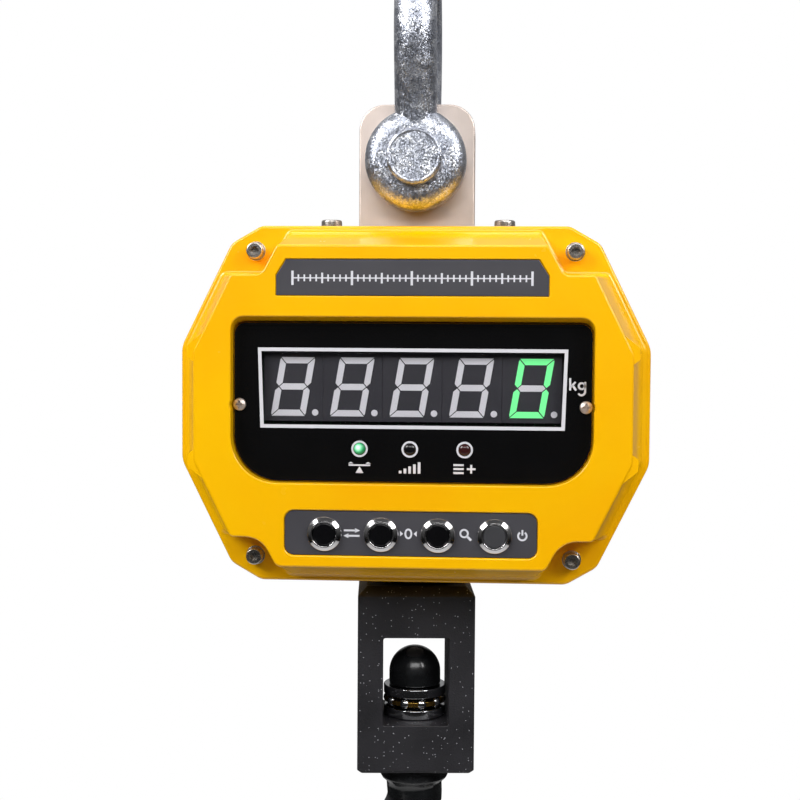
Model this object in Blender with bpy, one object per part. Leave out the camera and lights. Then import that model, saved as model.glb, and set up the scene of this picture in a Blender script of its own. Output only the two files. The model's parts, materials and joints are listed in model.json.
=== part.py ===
"""Crane scale: a bow shackle, a load cell in a two-part yellow case with a display, and a swivel hook.

Metres, +Z up, the display faces -Y. The origin is the inside of the shackle's crown, where the crane's
hook bears. Heights named ..._Z are in that frame, and heights named ..._H are above the case's centre.
"""

import math

import bmesh
import bpy
from mathutils import Matrix, Vector

GAP = 0.0003  # left between touching pieces

# Shackle
PIN_Z = -0.0965
PIN_R = 0.0130
JAW_HALF = 0.01825
BOW_R = 0.029  # inside radius of the bow
ROD_R = 0.011
EAR_R = 0.0258
EAR_T = 0.020
PIN_STAND = 0.008  # the pin's threaded end past the front ear

# Case: half-planes that bound its outline, as (direction in degrees, distance)
CASE_Z = PIN_Z - 0.1273
CASE_HALF_W = 0.122
CASE_HALF_H = 0.0928
CORNER_CUT = (60.0, 0.1203)
CORNER_SLANT = (26.2, 0.12277)
FACE_Y = -0.058
BACK_Y = 0.072
FLANGE_Y = -0.033  # the front flange's front side
PARTING_Y = -0.024  # the front cover's rear edge
REAR_EDGE_Y = PARTING_Y + 0.0013
REAR_FLANGE_Y = REAR_EDGE_Y + 0.009
FLANGE_STEP = 0.0038
FACE_INSET = 0.0115
WALL = 0.004
POCKET_Y = FLANGE_Y + 0.001  # floor of the corner pockets
SCREW_X, SCREW_H = 0.0826, 0.0796

# Window, panel and display
WINDOW_HALF_W = 0.0912
WINDOW_TOP_H, WINDOW_LOW_H = 0.04585, -0.03865
PANEL_Y = -0.051
PANEL_T = 0.003
FILTER_HALF_W, FILTER_LOW_H, FILTER_TOP_H = 0.0758, -0.0086, 0.0270
DIGIT_PITCH = 0.0304
DIGIT_H = 0.0098
DIGIT_SIZE = (0.0301, 0.0352)
PANEL_SCREW = (0.0878, 0.0006)
LAMP_X = (-0.0264, -0.0008, 0.0270)
LAMP_H = -0.0215
BOARD_Y = -0.0385

# Name strip, key plate and keys
STRIP_HALF_W, STRIP_LOW_H, STRIP_TOP_H = 0.0685, 0.05585, 0.07435
PLATE_HALF_W, PLATE_LOW_H, PLATE_TOP_H = 0.0640, -0.0754, -0.0524
KEY_X = (-0.0435, -0.0148, 0.0140, 0.0425)
KEY_H = -0.0643
KEY_BEZEL_R, KEY_BARREL_R, KEY_CAP_R = 0.0090, 0.0080, 0.0065
KEY_TRAVEL = 0.0015

# Load cell
CELL_HALF_W, CELL_HALF_T = 0.0305, 0.016
CELL_LOW_H = -0.066
CELL_CORNER_R = 0.0135
STUD_R = 0.015
TOP_BOLT_X = 0.0468

# Hook block, bearing and hook
BLOCK_YAW = math.radians(4.5)  # the block is locked on its stud a little off square
BLOCK_HALF_W, BLOCK_HALF_D = 0.0311, 0.026
BLOCK_TOP_H, BLOCK_LOW_H = -0.097, -0.197
BLOCK_CHAMFER, BLOCK_EDGE = 0.0048, 0.002
BAY_HALF_W, BAY_TOP_H, BAY_LOW_H = 0.0175, -0.124, -0.171
NUT_R, NUT_TOP_H, NUT_LOW_H = 0.014, -0.1335, -0.154
NUT_CAP_T = 0.0077  # from the dome's top to the end of its thread
SHANK_R, THREAD_R = 0.015, 0.011
RACE_IN_R, RACE_OUT_R, RACE_T = 0.0115, 0.0170, 0.005
BALL_R, BALL_PITCH_R = 0.0029, 0.0143
BOWL_R = 0.025
BOWL_H = -0.293
LATCH_X, LATCH_UP = 0.0195, 0.060  # the latch's pivot, from the bowl's centre
LATCH_LEN = 0.041
LATCH_LEAN = math.radians(12.5)


def at(x, y, h):
    """A point from its height above the case's centre."""
    return Vector((x, y, CASE_Z + h))


# ---- small modelling tools -------------------------------------------------


def finish(name, color, roughness, metallic=0.0):
    material = bpy.data.materials.new(name)
    material.use_nodes = True
    shader = material.node_tree.nodes["Principled BSDF"]
    shader.inputs["Base Color"].default_value = (*color, 1.0)
    shader.inputs["Roughness"].default_value = roughness
    shader.inputs["Metallic"].default_value = metallic
    material.diffuse_color = (*color, 1.0)
    return material


def lofted(rings, closed=False):
    """A solid through rings of points. Its ends are capped unless it closes on itself."""
    shape = bmesh.new()
    loops = [[shape.verts.new(point) for point in ring] for ring in rings]
    pairs = list(zip(loops, loops[1:]))
    if closed:
        pairs.append((loops[-1], loops[0]))
    for first, second in pairs:
        for i in range(len(first)):
            j = (i + 1) % len(first)
            shape.faces.new((first[i], first[j], second[j], second[i]))
    if not closed:
        shape.faces.new(loops[0])
        shape.faces.new(loops[-1])
    bmesh.ops.recalc_face_normals(shape, faces=shape.faces)
    return shape


def prism(outline, y0, y1, base=None):
    """An outline of (x, height above the case's centre), drawn along Y."""
    low = CASE_Z if base is None else base
    return lofted([[Vector((x, y, low + z)) for x, z in outline] for y in (y0, y1)])


def box(x0, x1, y0, y1, h0, h1):
    return prism([(x0, h0), (x1, h0), (x1, h1), (x0, h1)], y0, y1)


def rounded(corners, steps=3):
    """An outline whose corners (x, z, radius) are turned into arcs."""
    points = []
    for i, (x, z, radius) in enumerate(corners):
        here = Vector((x, z))
        if radius <= 0:
            points.append((x, z))
            continue
        back = (Vector(corners[i - 1][:2]) - here).normalized()
        ahead = (Vector(corners[(i + 1) % len(corners)][:2]) - here).normalized()
        half = back.angle(ahead) / 2
        centre = here + (back + ahead).normalized() * radius / math.sin(half)
        start = here + back * radius / math.tan(half) - centre
        end = here + ahead * radius / math.tan(half) - centre
        turn = start.angle_signed(end)
        for step in range(steps + 1):
            spoke = start.copy()
            spoke.rotate(Matrix.Rotation(-turn * step / steps, 2))
            points.append(tuple(centre + spoke))
    return points


def turned(profile, steps, centre, axis="Y"):
    """A profile of (radius, distance along the axis) turned round it. Radius 0 at both ends, or a closed ring."""
    solid = profile[0][0] == 0
    rings = [p for p in profile if p[0] > 0]
    shape = bmesh.new()

    def place(radius, along, angle):
        u, v = radius * math.cos(angle), radius * math.sin(angle)
        offset = {"X": (along, u, v), "Y": (u, along, v), "Z": (u, v, along)}[axis]
        return Vector(centre) + Vector(offset)

    turns = [2 * math.pi * k / steps for k in range(steps)]
    loops = [[shape.verts.new(place(r, a, t)) for t in turns] for r, a in rings]
    pairs = list(zip(loops, loops[1:]))
    if not solid:
        pairs.append((loops[-1], loops[0]))
    for first, second in pairs:
        for i in range(steps):
            j = (i + 1) % steps
            shape.faces.new((first[i], first[j], second[j], second[i]))
    if solid:
        shape.faces.new(loops[0])
        shape.faces.new(loops[-1])
    bmesh.ops.recalc_face_normals(shape, faces=shape.faces)
    return shape


def rod(radius, low, high, steps, centre, axis="Y"):
    return turned([(0, low), (radius, low), (radius, high), (0, high)], steps, centre, axis)


def spun(shape, angle, centre=(0, 0, 0)):
    """The same shape turned about a vertical line."""
    bmesh.ops.rotate(shape, verts=shape.verts, cent=Vector(centre), matrix=Matrix.Rotation(angle, 3, "Z"))
    return shape


def scene_object(name, shape):
    mesh = bpy.data.meshes.new(name)
    shape.to_mesh(mesh)
    shape.free()
    thing = bpy.data.objects.new(name, mesh)
    bpy.context.scene.collection.objects.link(thing)
    return thing


def combined(shape, tools, operation):
    """Boolean of one shape with others. The helpers leave the scene again."""
    body = scene_object("body", shape)
    helpers = [scene_object("helper", tool) for tool in tools]
    for helper in helpers:
        step = body.modifiers.new("Boolean", "BOOLEAN")
        step.operation = operation
        step.solver = "EXACT"
        step.object = helper
    result = bmesh.new()
    graph = bpy.context.evaluated_depsgraph_get()
    result.from_mesh(body.evaluated_get(graph).to_mesh())
    for thing in (body, *helpers):
        mesh = thing.data
        bpy.data.objects.remove(thing)
        bpy.data.meshes.remove(mesh)
    bmesh.ops.remove_doubles(result, verts=result.verts, dist=1e-6)
    return result


def cut(shape, *tools):
    return combined(shape, tools, "DIFFERENCE")


def join(shape, *tools):
    return combined(shape, tools, "UNION")


def piece(name, shape, material, pivot=(0, 0, 0), parent=None):
    """One named node. Its origin is its pivot, and it moves with its parent."""
    bmesh.ops.translate(shape, verts=shape.verts, vec=-Vector(pivot))
    thing = scene_object(name, shape)
    thing.location = pivot
    thing.data.materials.append(material)
    thing.data.shade_smooth()
    thing.data.set_sharp_from_angle(angle=math.radians(32))
    if parent:
        thing.parent = parent
        thing.matrix_parent_inverse = Matrix.Translation(-PLACES[parent.name])
    return thing


PLACES = {}


def pivot_empty(name, place, parent=None):
    empty = bpy.data.objects.new(name, None)
    empty.location = place
    empty.empty_display_size = 0.02
    bpy.context.scene.collection.objects.link(empty)
    PLACES[name] = Vector(place)
    if parent:
        empty.parent = parent
        empty.matrix_parent_inverse = Matrix.Translation(-PLACES[parent.name])
    return empty


# ---- shackle -----------------------------------------------------------------


def shackle_bow(metal):
    """Round rod bent into a bow in the YZ plane, ending in two round ears."""
    rod_r = BOW_R + ROD_R
    foot = Vector((0, JAW_HALF + EAR_T / 2, PIN_Z))
    spread = math.radians(-14)
    meet = Vector((0, rod_r * math.cos(spread), -BOW_R + rod_r * math.sin(spread)))
    lean = Vector((0, -math.sin(spread), math.cos(spread)))
    leg = []
    for k in range(6):
        t = k / 6
        a, b, c, d = (1 - t) ** 3, 3 * t * (1 - t) ** 2, 3 * t * t * (1 - t), t**3
        leg.append(foot * a + (foot + Vector((0, -0.0008, 0.028))) * b + (meet - lean * 0.02) * c + meet * d)
    arc = []
    for k in range(15):
        angle = spread + (math.pi - 2 * spread) * k / 14
        arc.append(Vector((0, rod_r * math.cos(angle), -BOW_R + rod_r * math.sin(angle))))
    line = leg + arc + [Vector((0, -p.y, p.z)) for p in reversed(leg)]
    rings = []
    for i, point in enumerate(line):
        ahead = line[min(i + 1, len(line) - 1)] - line[max(i - 1, 0)]
        side = Vector((1, 0, 0))
        up = ahead.cross(side).normalized()
        flat = min(1.0, 0.80 + 0.04 * min(i, len(line) - 1 - i))
        angles = [2 * math.pi * k / 12 for k in range(12)]
        rings.append([point + (side * math.cos(t) + up * math.sin(t) * flat) * ROD_R for t in angles])
    edge = 0.005
    near, far = JAW_HALF, JAW_HALF + EAR_T
    ear = [(0, near), (EAR_R - 0.002, near), (EAR_R, near + 0.002), (EAR_R, far - edge)]
    ear += [(EAR_R - edge * 0.3, far - edge * 0.3), (EAR_R - edge, far), (0, far)]
    centre = (0, 0, PIN_Z)
    rear = turned(ear, 24, centre)
    front = turned([(r, -a) for r, a in ear], 24, centre)
    bow = join(lofted(rings), rear, front)
    bow = cut(bow, rod(PIN_R + GAP, -0.06, 0.06, 24, centre))
    return piece("shackle_bow", bow, metal)


def shackle_pin(metal):
    """Screw pin: its end stands out of the front ear, its collar and eye are behind the rear one."""
    front = -JAW_HALF - EAR_T - PIN_STAND
    collar = JAW_HALF + EAR_T + GAP
    tail = collar + 0.006
    head, seat = PIN_R + 0.0012, -JAW_HALF - EAR_T - GAP
    profile = [(0, front), (head - 0.0012, front), (head, front + 0.0012), (head, seat), (PIN_R, seat), (PIN_R, collar)]
    profile += [(PIN_R + 0.004, collar), (PIN_R + 0.004, tail), (0, tail)]
    shaft = turned(profile, 24, (0, 0, PIN_Z))
    eye_y = tail + 0.014
    eye = turned([(0, -0.006), (0.0135, -0.006), (0.016, -0.0035), (0.016, 0.0035), (0.0135, 0.006), (0, 0.006)],
                 20, (0, eye_y, PIN_Z), "X")
    pin = join(shaft, eye)
    pin = cut(pin, rod(0.007, -0.01, 0.01, 16, (0, eye_y, PIN_Z), "X"))
    return piece("shackle_pin", pin, metal)


# ---- load cell -----------------------------------------------------------------


def load_cell(metal, scale):
    """Steel plate with an eye above, a gauged waist in the case and a threaded stud below."""
    eye_h = PIN_Z - CASE_Z
    shoulder = CELL_HALF_W - CELL_CORNER_R
    outline = [(CELL_HALF_W, CELL_LOW_H)]
    for side, start in ((1, 0), (-1, 1)):
        for k in range(9):
            angle = math.pi / 2 * (start + k / 8)
            outline.append((side * shoulder + CELL_CORNER_R * math.cos(angle),
                            eye_h + shoulder + CELL_CORNER_R * math.sin(angle)))
    outline.append((-CELL_HALF_W, CELL_LOW_H))
    cell = prism(outline, -CELL_HALF_T, CELL_HALF_T)
    stud = rod(STUD_R, CELL_LOW_H - 0.055, CELL_LOW_H + 0.006, 24, at(0, 0, 0), "Z")
    cell = join(cell, stud)
    eye = rod(PIN_R + 0.0006, -0.03, 0.03, 24, (0, 0, PIN_Z))
    well = turned([(0, -0.03), (0.0165, -0.03), (0.0165, -CELL_HALF_T + 0.0016), (0.014, -CELL_HALF_T + 0.0016),
                   (0.014, -0.008), (0, -0.008)], 20, at(0, 0, 0))
    waists = [box(side * 0.0245, side * 0.040, -0.03, 0.03, -0.018, 0.018) for side in (-1, 1)]
    cross = spun(rod(0.0043, -0.03, 0.03, 16, at(0, 0, BLOCK_TOP_H - 0.0135), "X"), BLOCK_YAW)
    return piece("load_cell", cut(cell, eye, well, *waists, cross), metal, (0, 0, PIN_Z), scale)


def gauge_cover(metal, scale):
    lid = rod(0.0162, -CELL_HALF_T + 0.0001, -CELL_HALF_T + 0.0013, 24, at(0, 0, 0))
    return piece("gauge_cover", lid, metal, (0, 0, PIN_Z), scale)


def seals(rubber, scale):
    """A rectangular collar round the plate in the case's top, and a round one on the stud below."""
    outer = rounded([(0.0352, 0.0192, 0.003), (-0.0352, 0.0192, 0.003), (-0.0352, -0.0192, 0.003),
                     (0.0352, -0.0192, 0.003)], 2)
    rings = [[at(x, y, h) for x, y in outer] for h in (0.0860, 0.0924)]
    hole = box(-CELL_HALF_W - GAP, CELL_HALF_W + GAP, -CELL_HALF_T - GAP, CELL_HALF_T + GAP, 0.08, 0.1)
    piece("top_seal", cut(lofted(rings), hole), rubber, (0, 0, PIN_Z), scale)
    low, high, inner, rim = -0.0940, -0.0855, STUD_R + GAP, 0.0187
    collar = turned([(inner, low), (rim - 0.001, low), (rim, low + 0.001), (rim, high), (inner, high)], 24,
                    at(0, 0, 0), "Z")
    piece("bottom_seal", collar, rubber, (0, 0, PIN_Z), scale)


def cell_bracket(metal, scale):
    """Collar plate round the load cell, that the two top bolts pull the case on to."""
    plate = box(-0.056, 0.056, -0.0205, 0.0205, 0.0730, 0.0808)
    slot = box(-CELL_HALF_W - GAP, CELL_HALF_W + GAP, -CELL_HALF_T - GAP, CELL_HALF_T + GAP, 0.07, 0.09)
    holes = [rod(0.0033, 0.07, 0.09, 16, at(side * TOP_BOLT_X, 0, 0), "Z") for side in (-1, 1)]
    return piece("cell_bracket", cut(plate, slot, *holes), metal, (0, 0, PIN_Z), scale)


def top_bolts(metal, scale):
    seat = CASE_HALF_H + GAP
    for name, side in (("left", -1), ("right", 1)):
        profile = [(0, 0.0710), (0.003, 0.0710), (0.003, seat), (0.0062, seat), (0.0062, seat + 0.0012),
                   (0.0056, seat + 0.0014), (0.0056, seat + 0.0042), (0.0044, seat + 0.0052), (0, seat + 0.0052)]
        bolt = turned(profile, 16, at(side * TOP_BOLT_X, 0, 0), "Z")
        piece(f"top_bolt_{name}", bolt, metal, (0, 0, PIN_Z), scale)


# ---- case -----------------------------------------------------------------


def case_outline(inset):
    """The case's twelve corners, moved in by inset: each is where two neighbouring edges meet."""
    cut_at, cut_by = CORNER_CUT
    slant_at, slant_by = CORNER_SLANT
    quarter = [(0.0, CASE_HALF_W), (slant_at, slant_by), (cut_at, cut_by), (90.0, CASE_HALF_H)]
    edges = quarter[:]
    edges += [(180 - a, d) for a, d in reversed(quarter[:3])]
    edges += [(360 - a, d) for a, d in reversed(edges[1:6])]
    corners = []
    for i, (angle, reach) in enumerate(edges):
        other, other_reach = edges[(i + 1) % len(edges)]
        a, b = math.radians(angle), math.radians(other)
        scale = math.sin(b - a)
        c, d = reach - inset, other_reach - inset
        corners.append(((c * math.sin(b) - d * math.sin(a)) / scale, (d * math.cos(a) - c * math.cos(b)) / scale))
    return corners


def case_shell(stations):
    """A solid through the case's outline at each (y, inset)."""
    return lofted([[at(x, y, h) for x, h in case_outline(inset)] for y, inset in stations])


def pocket_outline(side, up, grow=0.0):
    """The notch in one corner of the raised face, open outwards."""
    corners = [(0.0672 - grow, 0.105, 0), (0.0672 - grow, CASE_HALF_H - FACE_INSET, 0),
               (0.0757 - grow, 0.0665 - grow, 0.005), (0.130, 0.0665 - grow, 0), (0.130, 0.105, 0)]
    outline = rounded(corners)
    return [(side * x, up * z) for x, z in outline]


def window_outline(inset, drop):
    """Small corners above, large ones below."""
    w, low, top = WINDOW_HALF_W - inset, WINDOW_LOW_H + inset, WINDOW_TOP_H - drop
    return rounded([(w, low, 0.0235), (w, top, 0.007), (-w, top, 0.007), (-w, low, 0.0235)], 5)


def strip_outline(inset):
    w, low, top = STRIP_HALF_W - inset, STRIP_LOW_H + inset, STRIP_TOP_H - inset
    return [(w, low), (w, top - 0.0080), (w - 0.0050, top), (-w + 0.0050, top), (-w, top - 0.0080), (-w, low)]


def plate_outline(inset):
    w, low, top = PLATE_HALF_W - inset, PLATE_LOW_H + inset, PLATE_TOP_H - inset
    return rounded([(w, low, 0.005), (w, top, 0.005), (-w, top, 0.005), (-w, low, 0.005)])


def front_cover(paint, scale):
    """Flange, tapered raised face with corner pockets and side ribs, window seat, recesses and key holes."""
    body = case_shell([(PARTING_Y, 0), (FLANGE_Y + 0.0022, 0), (FLANGE_Y, 0.0022), (FLANGE_Y - 0.0001, FLANGE_STEP),
                       (FACE_Y + 0.0045, FACE_INSET - 0.0018), (FACE_Y + 0.0013, FACE_INSET - 0.0005),
                       (FACE_Y, FACE_INSET + 0.0018)])
    ribs = []
    for side in (-1, 1):
        for up in (-1, 1):
            rib = [(0.0995, 0.0365), (0.1045, 0.0365), (0.1134, 0.0306), (0.1138, 0.0250), (0.1100, 0.0222),
                   (0.0995, 0.0222)]
            ribs.append(prism([(side * x, up * z) for x, z in rib], FACE_Y + 0.0005, FLANGE_Y + 0.004))
    body = join(body, *ribs)
    cavity = case_shell([(PARTING_Y + 0.001, FLANGE_STEP + WALL), (FLANGE_Y, FLANGE_STEP + WALL),
                         (FACE_Y + WALL, FACE_INSET + WALL)])
    posts = [prism(pocket_outline(side, up, WALL), FACE_Y, PARTING_Y + 0.002) for side in (-1, 1) for up in (-1, 1)]
    cavity = cut(cavity, *posts)
    seat = box(-0.0975, 0.0975, FACE_Y + WALL - 0.001, PANEL_Y + PANEL_T + 0.0043, WINDOW_LOW_H - 0.006,
               WINDOW_TOP_H + 0.006)
    cavity = cut(cavity, seat)
    pockets = [prism(pocket_outline(side, up), FACE_Y - 0.01, POCKET_Y) for side in (-1, 1) for up in (-1, 1)]
    recess = lofted([[at(x, y, h) for x, h in window_outline(inset, drop)]
                     for y, inset, drop in ((FACE_Y - 0.001, 0, 0), (FACE_Y, 0, 0), (PANEL_Y, 0.0005, 0.0030),
                                            (PANEL_Y + PANEL_T + GAP, 0.0005, 0.0030))])
    opening = prism(rounded([(0.083, -0.031, 0.005), (0.083, 0.0368, 0.005), (-0.083, 0.0368, 0.005),
                             (-0.083, -0.031, 0.005)]), PANEL_Y, FACE_Y + 0.03)
    screw_x, screw_h = PANEL_SCREW
    notches = [rod(0.0042, FACE_Y - 0.002, PANEL_Y + PANEL_T + 2 * GAP, 20, at(side * screw_x, 0, screw_h))
               for side in (-1, 1)]
    taps = [rod(0.0016, PANEL_Y, FACE_Y + 0.03, 12, at(side * screw_x, 0, screw_h)) for side in (-1, 1)]
    strip = prism(strip_outline(0), FACE_Y - 0.001, FACE_Y + 0.0012)
    plate = prism(plate_outline(0), FACE_Y - 0.001, FACE_Y + 0.0020)
    keys = [rod(KEY_BARREL_R + GAP, FACE_Y, FACE_Y + 0.02, 18, at(x, 0, KEY_H)) for x in KEY_X]
    bolts = [rod(0.0029, POCKET_Y - 0.01, PARTING_Y + 0.01, 16, at(side * SCREW_X, 0, up * SCREW_H))
             for side in (-1, 1) for up in (-1, 1)]
    body = cut(body, cavity, *pockets)
    body = cut(body, recess)
    body = cut(body, opening, *notches)
    body = cut(body, *taps, strip, plate)
    body = cut(body, *keys, *bolts)
    return piece("front_cover", body, paint, (0, 0, PIN_Z), scale)


def rear_cover(paint, scale):
    """Deep rear casting with flat lands for the load cell above and below, and the battery opening behind."""
    body = case_shell([(REAR_EDGE_Y, 0), (REAR_FLANGE_Y - 0.0022, 0), (REAR_FLANGE_Y, 0.0022),
                       (REAR_FLANGE_Y + 0.0001, FLANGE_STEP), (BACK_Y - 0.004, 0.0110), (BACK_Y - 0.0012, 0.0125),
                       (BACK_Y, 0.0155)])
    lands = [box(-0.058, 0.058, REAR_FLANGE_Y - 0.003, 0.026, 0.078, CASE_HALF_H),
             box(-0.036, 0.036, REAR_FLANGE_Y - 0.003, 0.028, -CASE_HALF_H, -0.078)]
    body = join(body, *lands)
    cavity = case_shell([(REAR_EDGE_Y - 0.001, FLANGE_STEP + WALL), (BACK_Y - WALL, 0.0110 + WALL)])
    bosses = [rod(0.006, REAR_EDGE_Y - 0.002, -0.003, 16, at(side * SCREW_X, 0, up * SCREW_H))
              for side in (-1, 1) for up in (-1, 1)]
    cavity = cut(cavity, *bosses)
    top = box(-0.0355, 0.0355, -0.0195, 0.0195, 0.07, 0.1)
    low = rod(0.019, -0.1, -0.07, 28, at(0, 0, 0), "Z")
    bolt_holes = [rod(0.0033, 0.07, 0.1, 16, at(side * TOP_BOLT_X, 0, 0), "Z") for side in (-1, 1)]
    taps = [rod(0.0028, REAR_EDGE_Y - 0.002, -0.0055, 16, at(side * SCREW_X, 0, up * SCREW_H))
            for side in (-1, 1) for up in (-1, 1)]
    door = prism(door_outline(0), BACK_Y - 0.0018, BACK_Y + 0.002)
    hatch = prism(rounded([(0.040, -0.056, 0.004), (0.040, 0.056, 0.004), (-0.040, 0.056, 0.004),
                           (-0.040, -0.056, 0.004)], 2), BACK_Y - 0.01, BACK_Y + 0.002)
    door_taps = [rod(0.0022, BACK_Y - 0.01, BACK_Y + 0.002, 12, at(x, 0, 0)) for x in DOOR_SCREW_X]
    socket = rod(0.0083, BACK_Y - 0.01, BACK_Y + 0.002, 16, at(*SOCKET_PLACE))
    body = cut(body, cavity)
    body = cut(body, top, low, *bolt_holes, *taps)
    body = cut(body, door)
    body = cut(body, hatch, *door_taps, socket)
    return piece("rear_cover", body, paint, (0, 0, PIN_Z), scale)


DOOR_SCREW_X = (-0.0455, 0.0455)
SOCKET_PLACE = (0.078, 0, -0.038)


def door_outline(inset):
    w, h = 0.0515 - inset, 0.062 - inset
    return rounded([(w, -h, 0.006), (w, h, 0.006), (-w, h, 0.006), (-w, -h, 0.006)], 2)


def battery_door(paint, metal, scale):
    face, back = BACK_Y - 0.0015, BACK_Y + 0.0015
    lid = prism(door_outline(0.0004), face, back)
    holes = [rod(0.0024, face - 0.01, back + 0.01, 12, at(x, 0, 0)) for x in DOOR_SCREW_X]
    piece("battery_door", cut(lid, *holes), paint, (0, 0, PIN_Z), scale)
    for name, x in zip(("left", "right"), DOOR_SCREW_X):
        head = [(0, BACK_Y - 0.008), (0.0018, BACK_Y - 0.008), (0.0018, back + GAP), (0.0036, back + GAP),
                (0.0034, back + 0.0016), (0.0018, back + 0.0024), (0, back + 0.0024)]
        piece(f"door_screw_{name}", turned(head, 16, at(x, 0, 0)), metal, (0, 0, PIN_Z), scale)


def charger_parts(metal, rubber, scale):
    x, _, h = SOCKET_PLACE
    body = [(0.0045, BACK_Y - 0.012), (0.0080, BACK_Y - 0.012), (0.0080, BACK_Y + GAP), (0.0110, BACK_Y + GAP),
            (0.0110, BACK_Y + 0.0018), (0.0085, BACK_Y + 0.0022), (0.0085, BACK_Y + 0.0060), (0.0045, BACK_Y + 0.0060)]
    piece("charger_socket", turned(body, 16, at(x, 0, h)), metal, (0, 0, PIN_Z), scale)
    low, top = BACK_Y + 0.0025, BACK_Y + 0.0085
    cap = [(0, BACK_Y + 0.0063), (0.0088, BACK_Y + 0.0063), (0.0088, low), (0.0106, low), (0.0106, top - 0.001),
           (0.0096, top), (0, top)]
    piece("charger_cap", turned(cap, 18, at(x, 0, h)), rubber, (0, 0, PIN_Z), scale)


def case_gasket(rubber, scale):
    y0, y1 = PARTING_Y + GAP, REAR_EDGE_Y - GAP
    ring = cut(case_shell([(y0, 0.0012), (y1, 0.0012)]), case_shell([(y0 - 0.002, 0.0066), (y1 + 0.002, 0.0066)]))
    return piece("case_gasket", ring, rubber, (0, 0, PIN_Z), scale)


def case_screws(metal, scale):
    """Four socket-head cap screws, each on a washer in its pocket."""
    seat = POCKET_Y - GAP
    head = seat - 0.0016 - GAP
    top = head - 0.0050
    names = {(-1, 1): "upper_left", (1, 1): "upper_right", (-1, -1): "lower_left", (1, -1): "lower_right"}
    for (side, up), name in names.items():
        centre = at(side * SCREW_X, 0, up * SCREW_H)
        washer = [(0.0028, seat), (0.0050, seat), (0.0050, seat - 0.0016), (0.0028, seat - 0.0016)]
        piece(f"screw_washer_{name}", turned(washer, 16, centre), metal, (0, 0, PIN_Z), scale)
        profile = [(0, top), (0.0038, top), (0.00425, top + 0.0005), (0.00425, head), (0.0025, head),
                   (0.0025, -0.0065), (0, -0.0065)]
        hexagon = rod(0.0023, top - 0.002, top + 0.0027, 6, centre)
        piece(f"case_screw_{name}", cut(turned(profile, 16, centre), hexagon), metal, (0, 0, PIN_Z), scale)


# ---- display, keys and what is behind them -----------------------------------------------------------------


def display_panel(plastic, scale):
    body = prism(window_outline(0.0008, 0.0033), PANEL_Y, PANEL_Y + PANEL_T)
    w = FILTER_HALF_W + GAP
    pane = box(-w, w, PANEL_Y - 0.002, PANEL_Y + PANEL_T + 0.002, FILTER_LOW_H - GAP, FILTER_TOP_H + GAP)
    lamps = [rod(0.0027, PANEL_Y - 0.002, PANEL_Y + 0.01, 16, at(x, 0, LAMP_H)) for x in LAMP_X]
    screw_x, screw_h = PANEL_SCREW
    holes = [rod(0.0018, PANEL_Y - 0.002, PANEL_Y + 0.01, 12, at(side * screw_x, 0, screw_h)) for side in (-1, 1)]
    return piece("display_panel", cut(body, pane, *lamps, *holes), plastic, (0, 0, PIN_Z), scale)


def display_filter(tint, scale):
    pane = box(-FILTER_HALF_W, FILTER_HALF_W, PANEL_Y + 0.0002, PANEL_Y + PANEL_T - 0.0008, FILTER_LOW_H,
               FILTER_TOP_H)
    return piece("display_filter", pane, tint, (0, 0, PIN_Z), scale)


def panel_screws(metal, scale):
    """Pan heads with a cross recess."""
    screw_x, screw_h = PANEL_SCREW
    for name, side in (("left", -1), ("right", 1)):
        centre = at(side * screw_x, 0, screw_h)
        under = PANEL_Y - GAP
        profile = [(0, under - 0.0020), (0.0018, under - 0.0020), (0.0029, under - 0.0013), (0.00335, under),
                   (0.0013, under), (0.0013, PANEL_Y + 0.009), (0, PANEL_Y + 0.009)]
        slots = [box(centre.x - a, centre.x + a, under - 0.004, under - 0.0010, screw_h - b, screw_h + b)
                 for a, b in ((0.0018, 0.0004), (0.0004, 0.0018))]
        head = cut(turned(profile, 16, centre), *slots)
        piece(f"panel_screw_{name}", head, metal, (0, 0, PIN_Z), scale)


def digits(plastic, scale):
    """Five display modules on the board, behind the filter."""
    w, h = DIGIT_SIZE
    front, back = PANEL_Y + PANEL_T + 0.0005, BOARD_Y - GAP
    for k in range(5):
        x = (k - 2) * DIGIT_PITCH
        low, top = DIGIT_H - h / 2, DIGIT_H + h / 2
        rings = []
        for y, inset in ((back, 0.0), (front + 0.0008, 0.0), (front, 0.0008)):
            rings.append([at(x + sx * (w / 2 - inset), y, low + inset if sz < 0 else top - inset)
                          for sx, sz in ((-1, -1), (1, -1), (1, 1), (-1, 1))])
        piece(f"digit_{k + 1}", lofted(rings), plastic, (0, 0, PIN_Z), scale)


def lamps(glow, scale):
    """Three 5 mm lamps with domed ends, in the panel's holes."""
    for k, x in enumerate(LAMP_X):
        tip, base = PANEL_Y - 0.0012, BOARD_Y - GAP
        profile = [(0, tip), (0.0011, tip + 0.0002), (0.0020, tip + 0.0009), (0.00245, tip + 0.0021),
                   (0.00245, base - 0.0012), (0.0029, base - 0.0012), (0.0029, base), (0, base)]
        profile[0] = (0, tip + 0.0002)
        piece(f"lamp_{k + 1}", turned(profile, 16, at(x, 0, LAMP_H)), glow[k], (0, 0, PIN_Z), scale)


def boards(board, scale):
    y = BOARD_Y
    piece("display_board", box(-0.080, 0.080, y, y + 0.0016, -0.029, 0.035), board, (0, 0, PIN_Z), scale)
    plate = box(-0.072, 0.072, -0.0236, -0.0220, -0.050, 0.046)
    parts = [box(-0.060, -0.038, -0.0320, -0.0230, 0.020, 0.036), box(-0.012, 0.010, -0.0262, -0.0230, -0.012, 0.010),
             box(0.036, 0.062, -0.0330, -0.0230, -0.040, -0.028), box(0.030, 0.046, -0.0300, -0.0230, 0.012, 0.030)]
    piece("main_board", join(plate, *parts), board, (0, 0, PIN_Z), scale)


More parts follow.
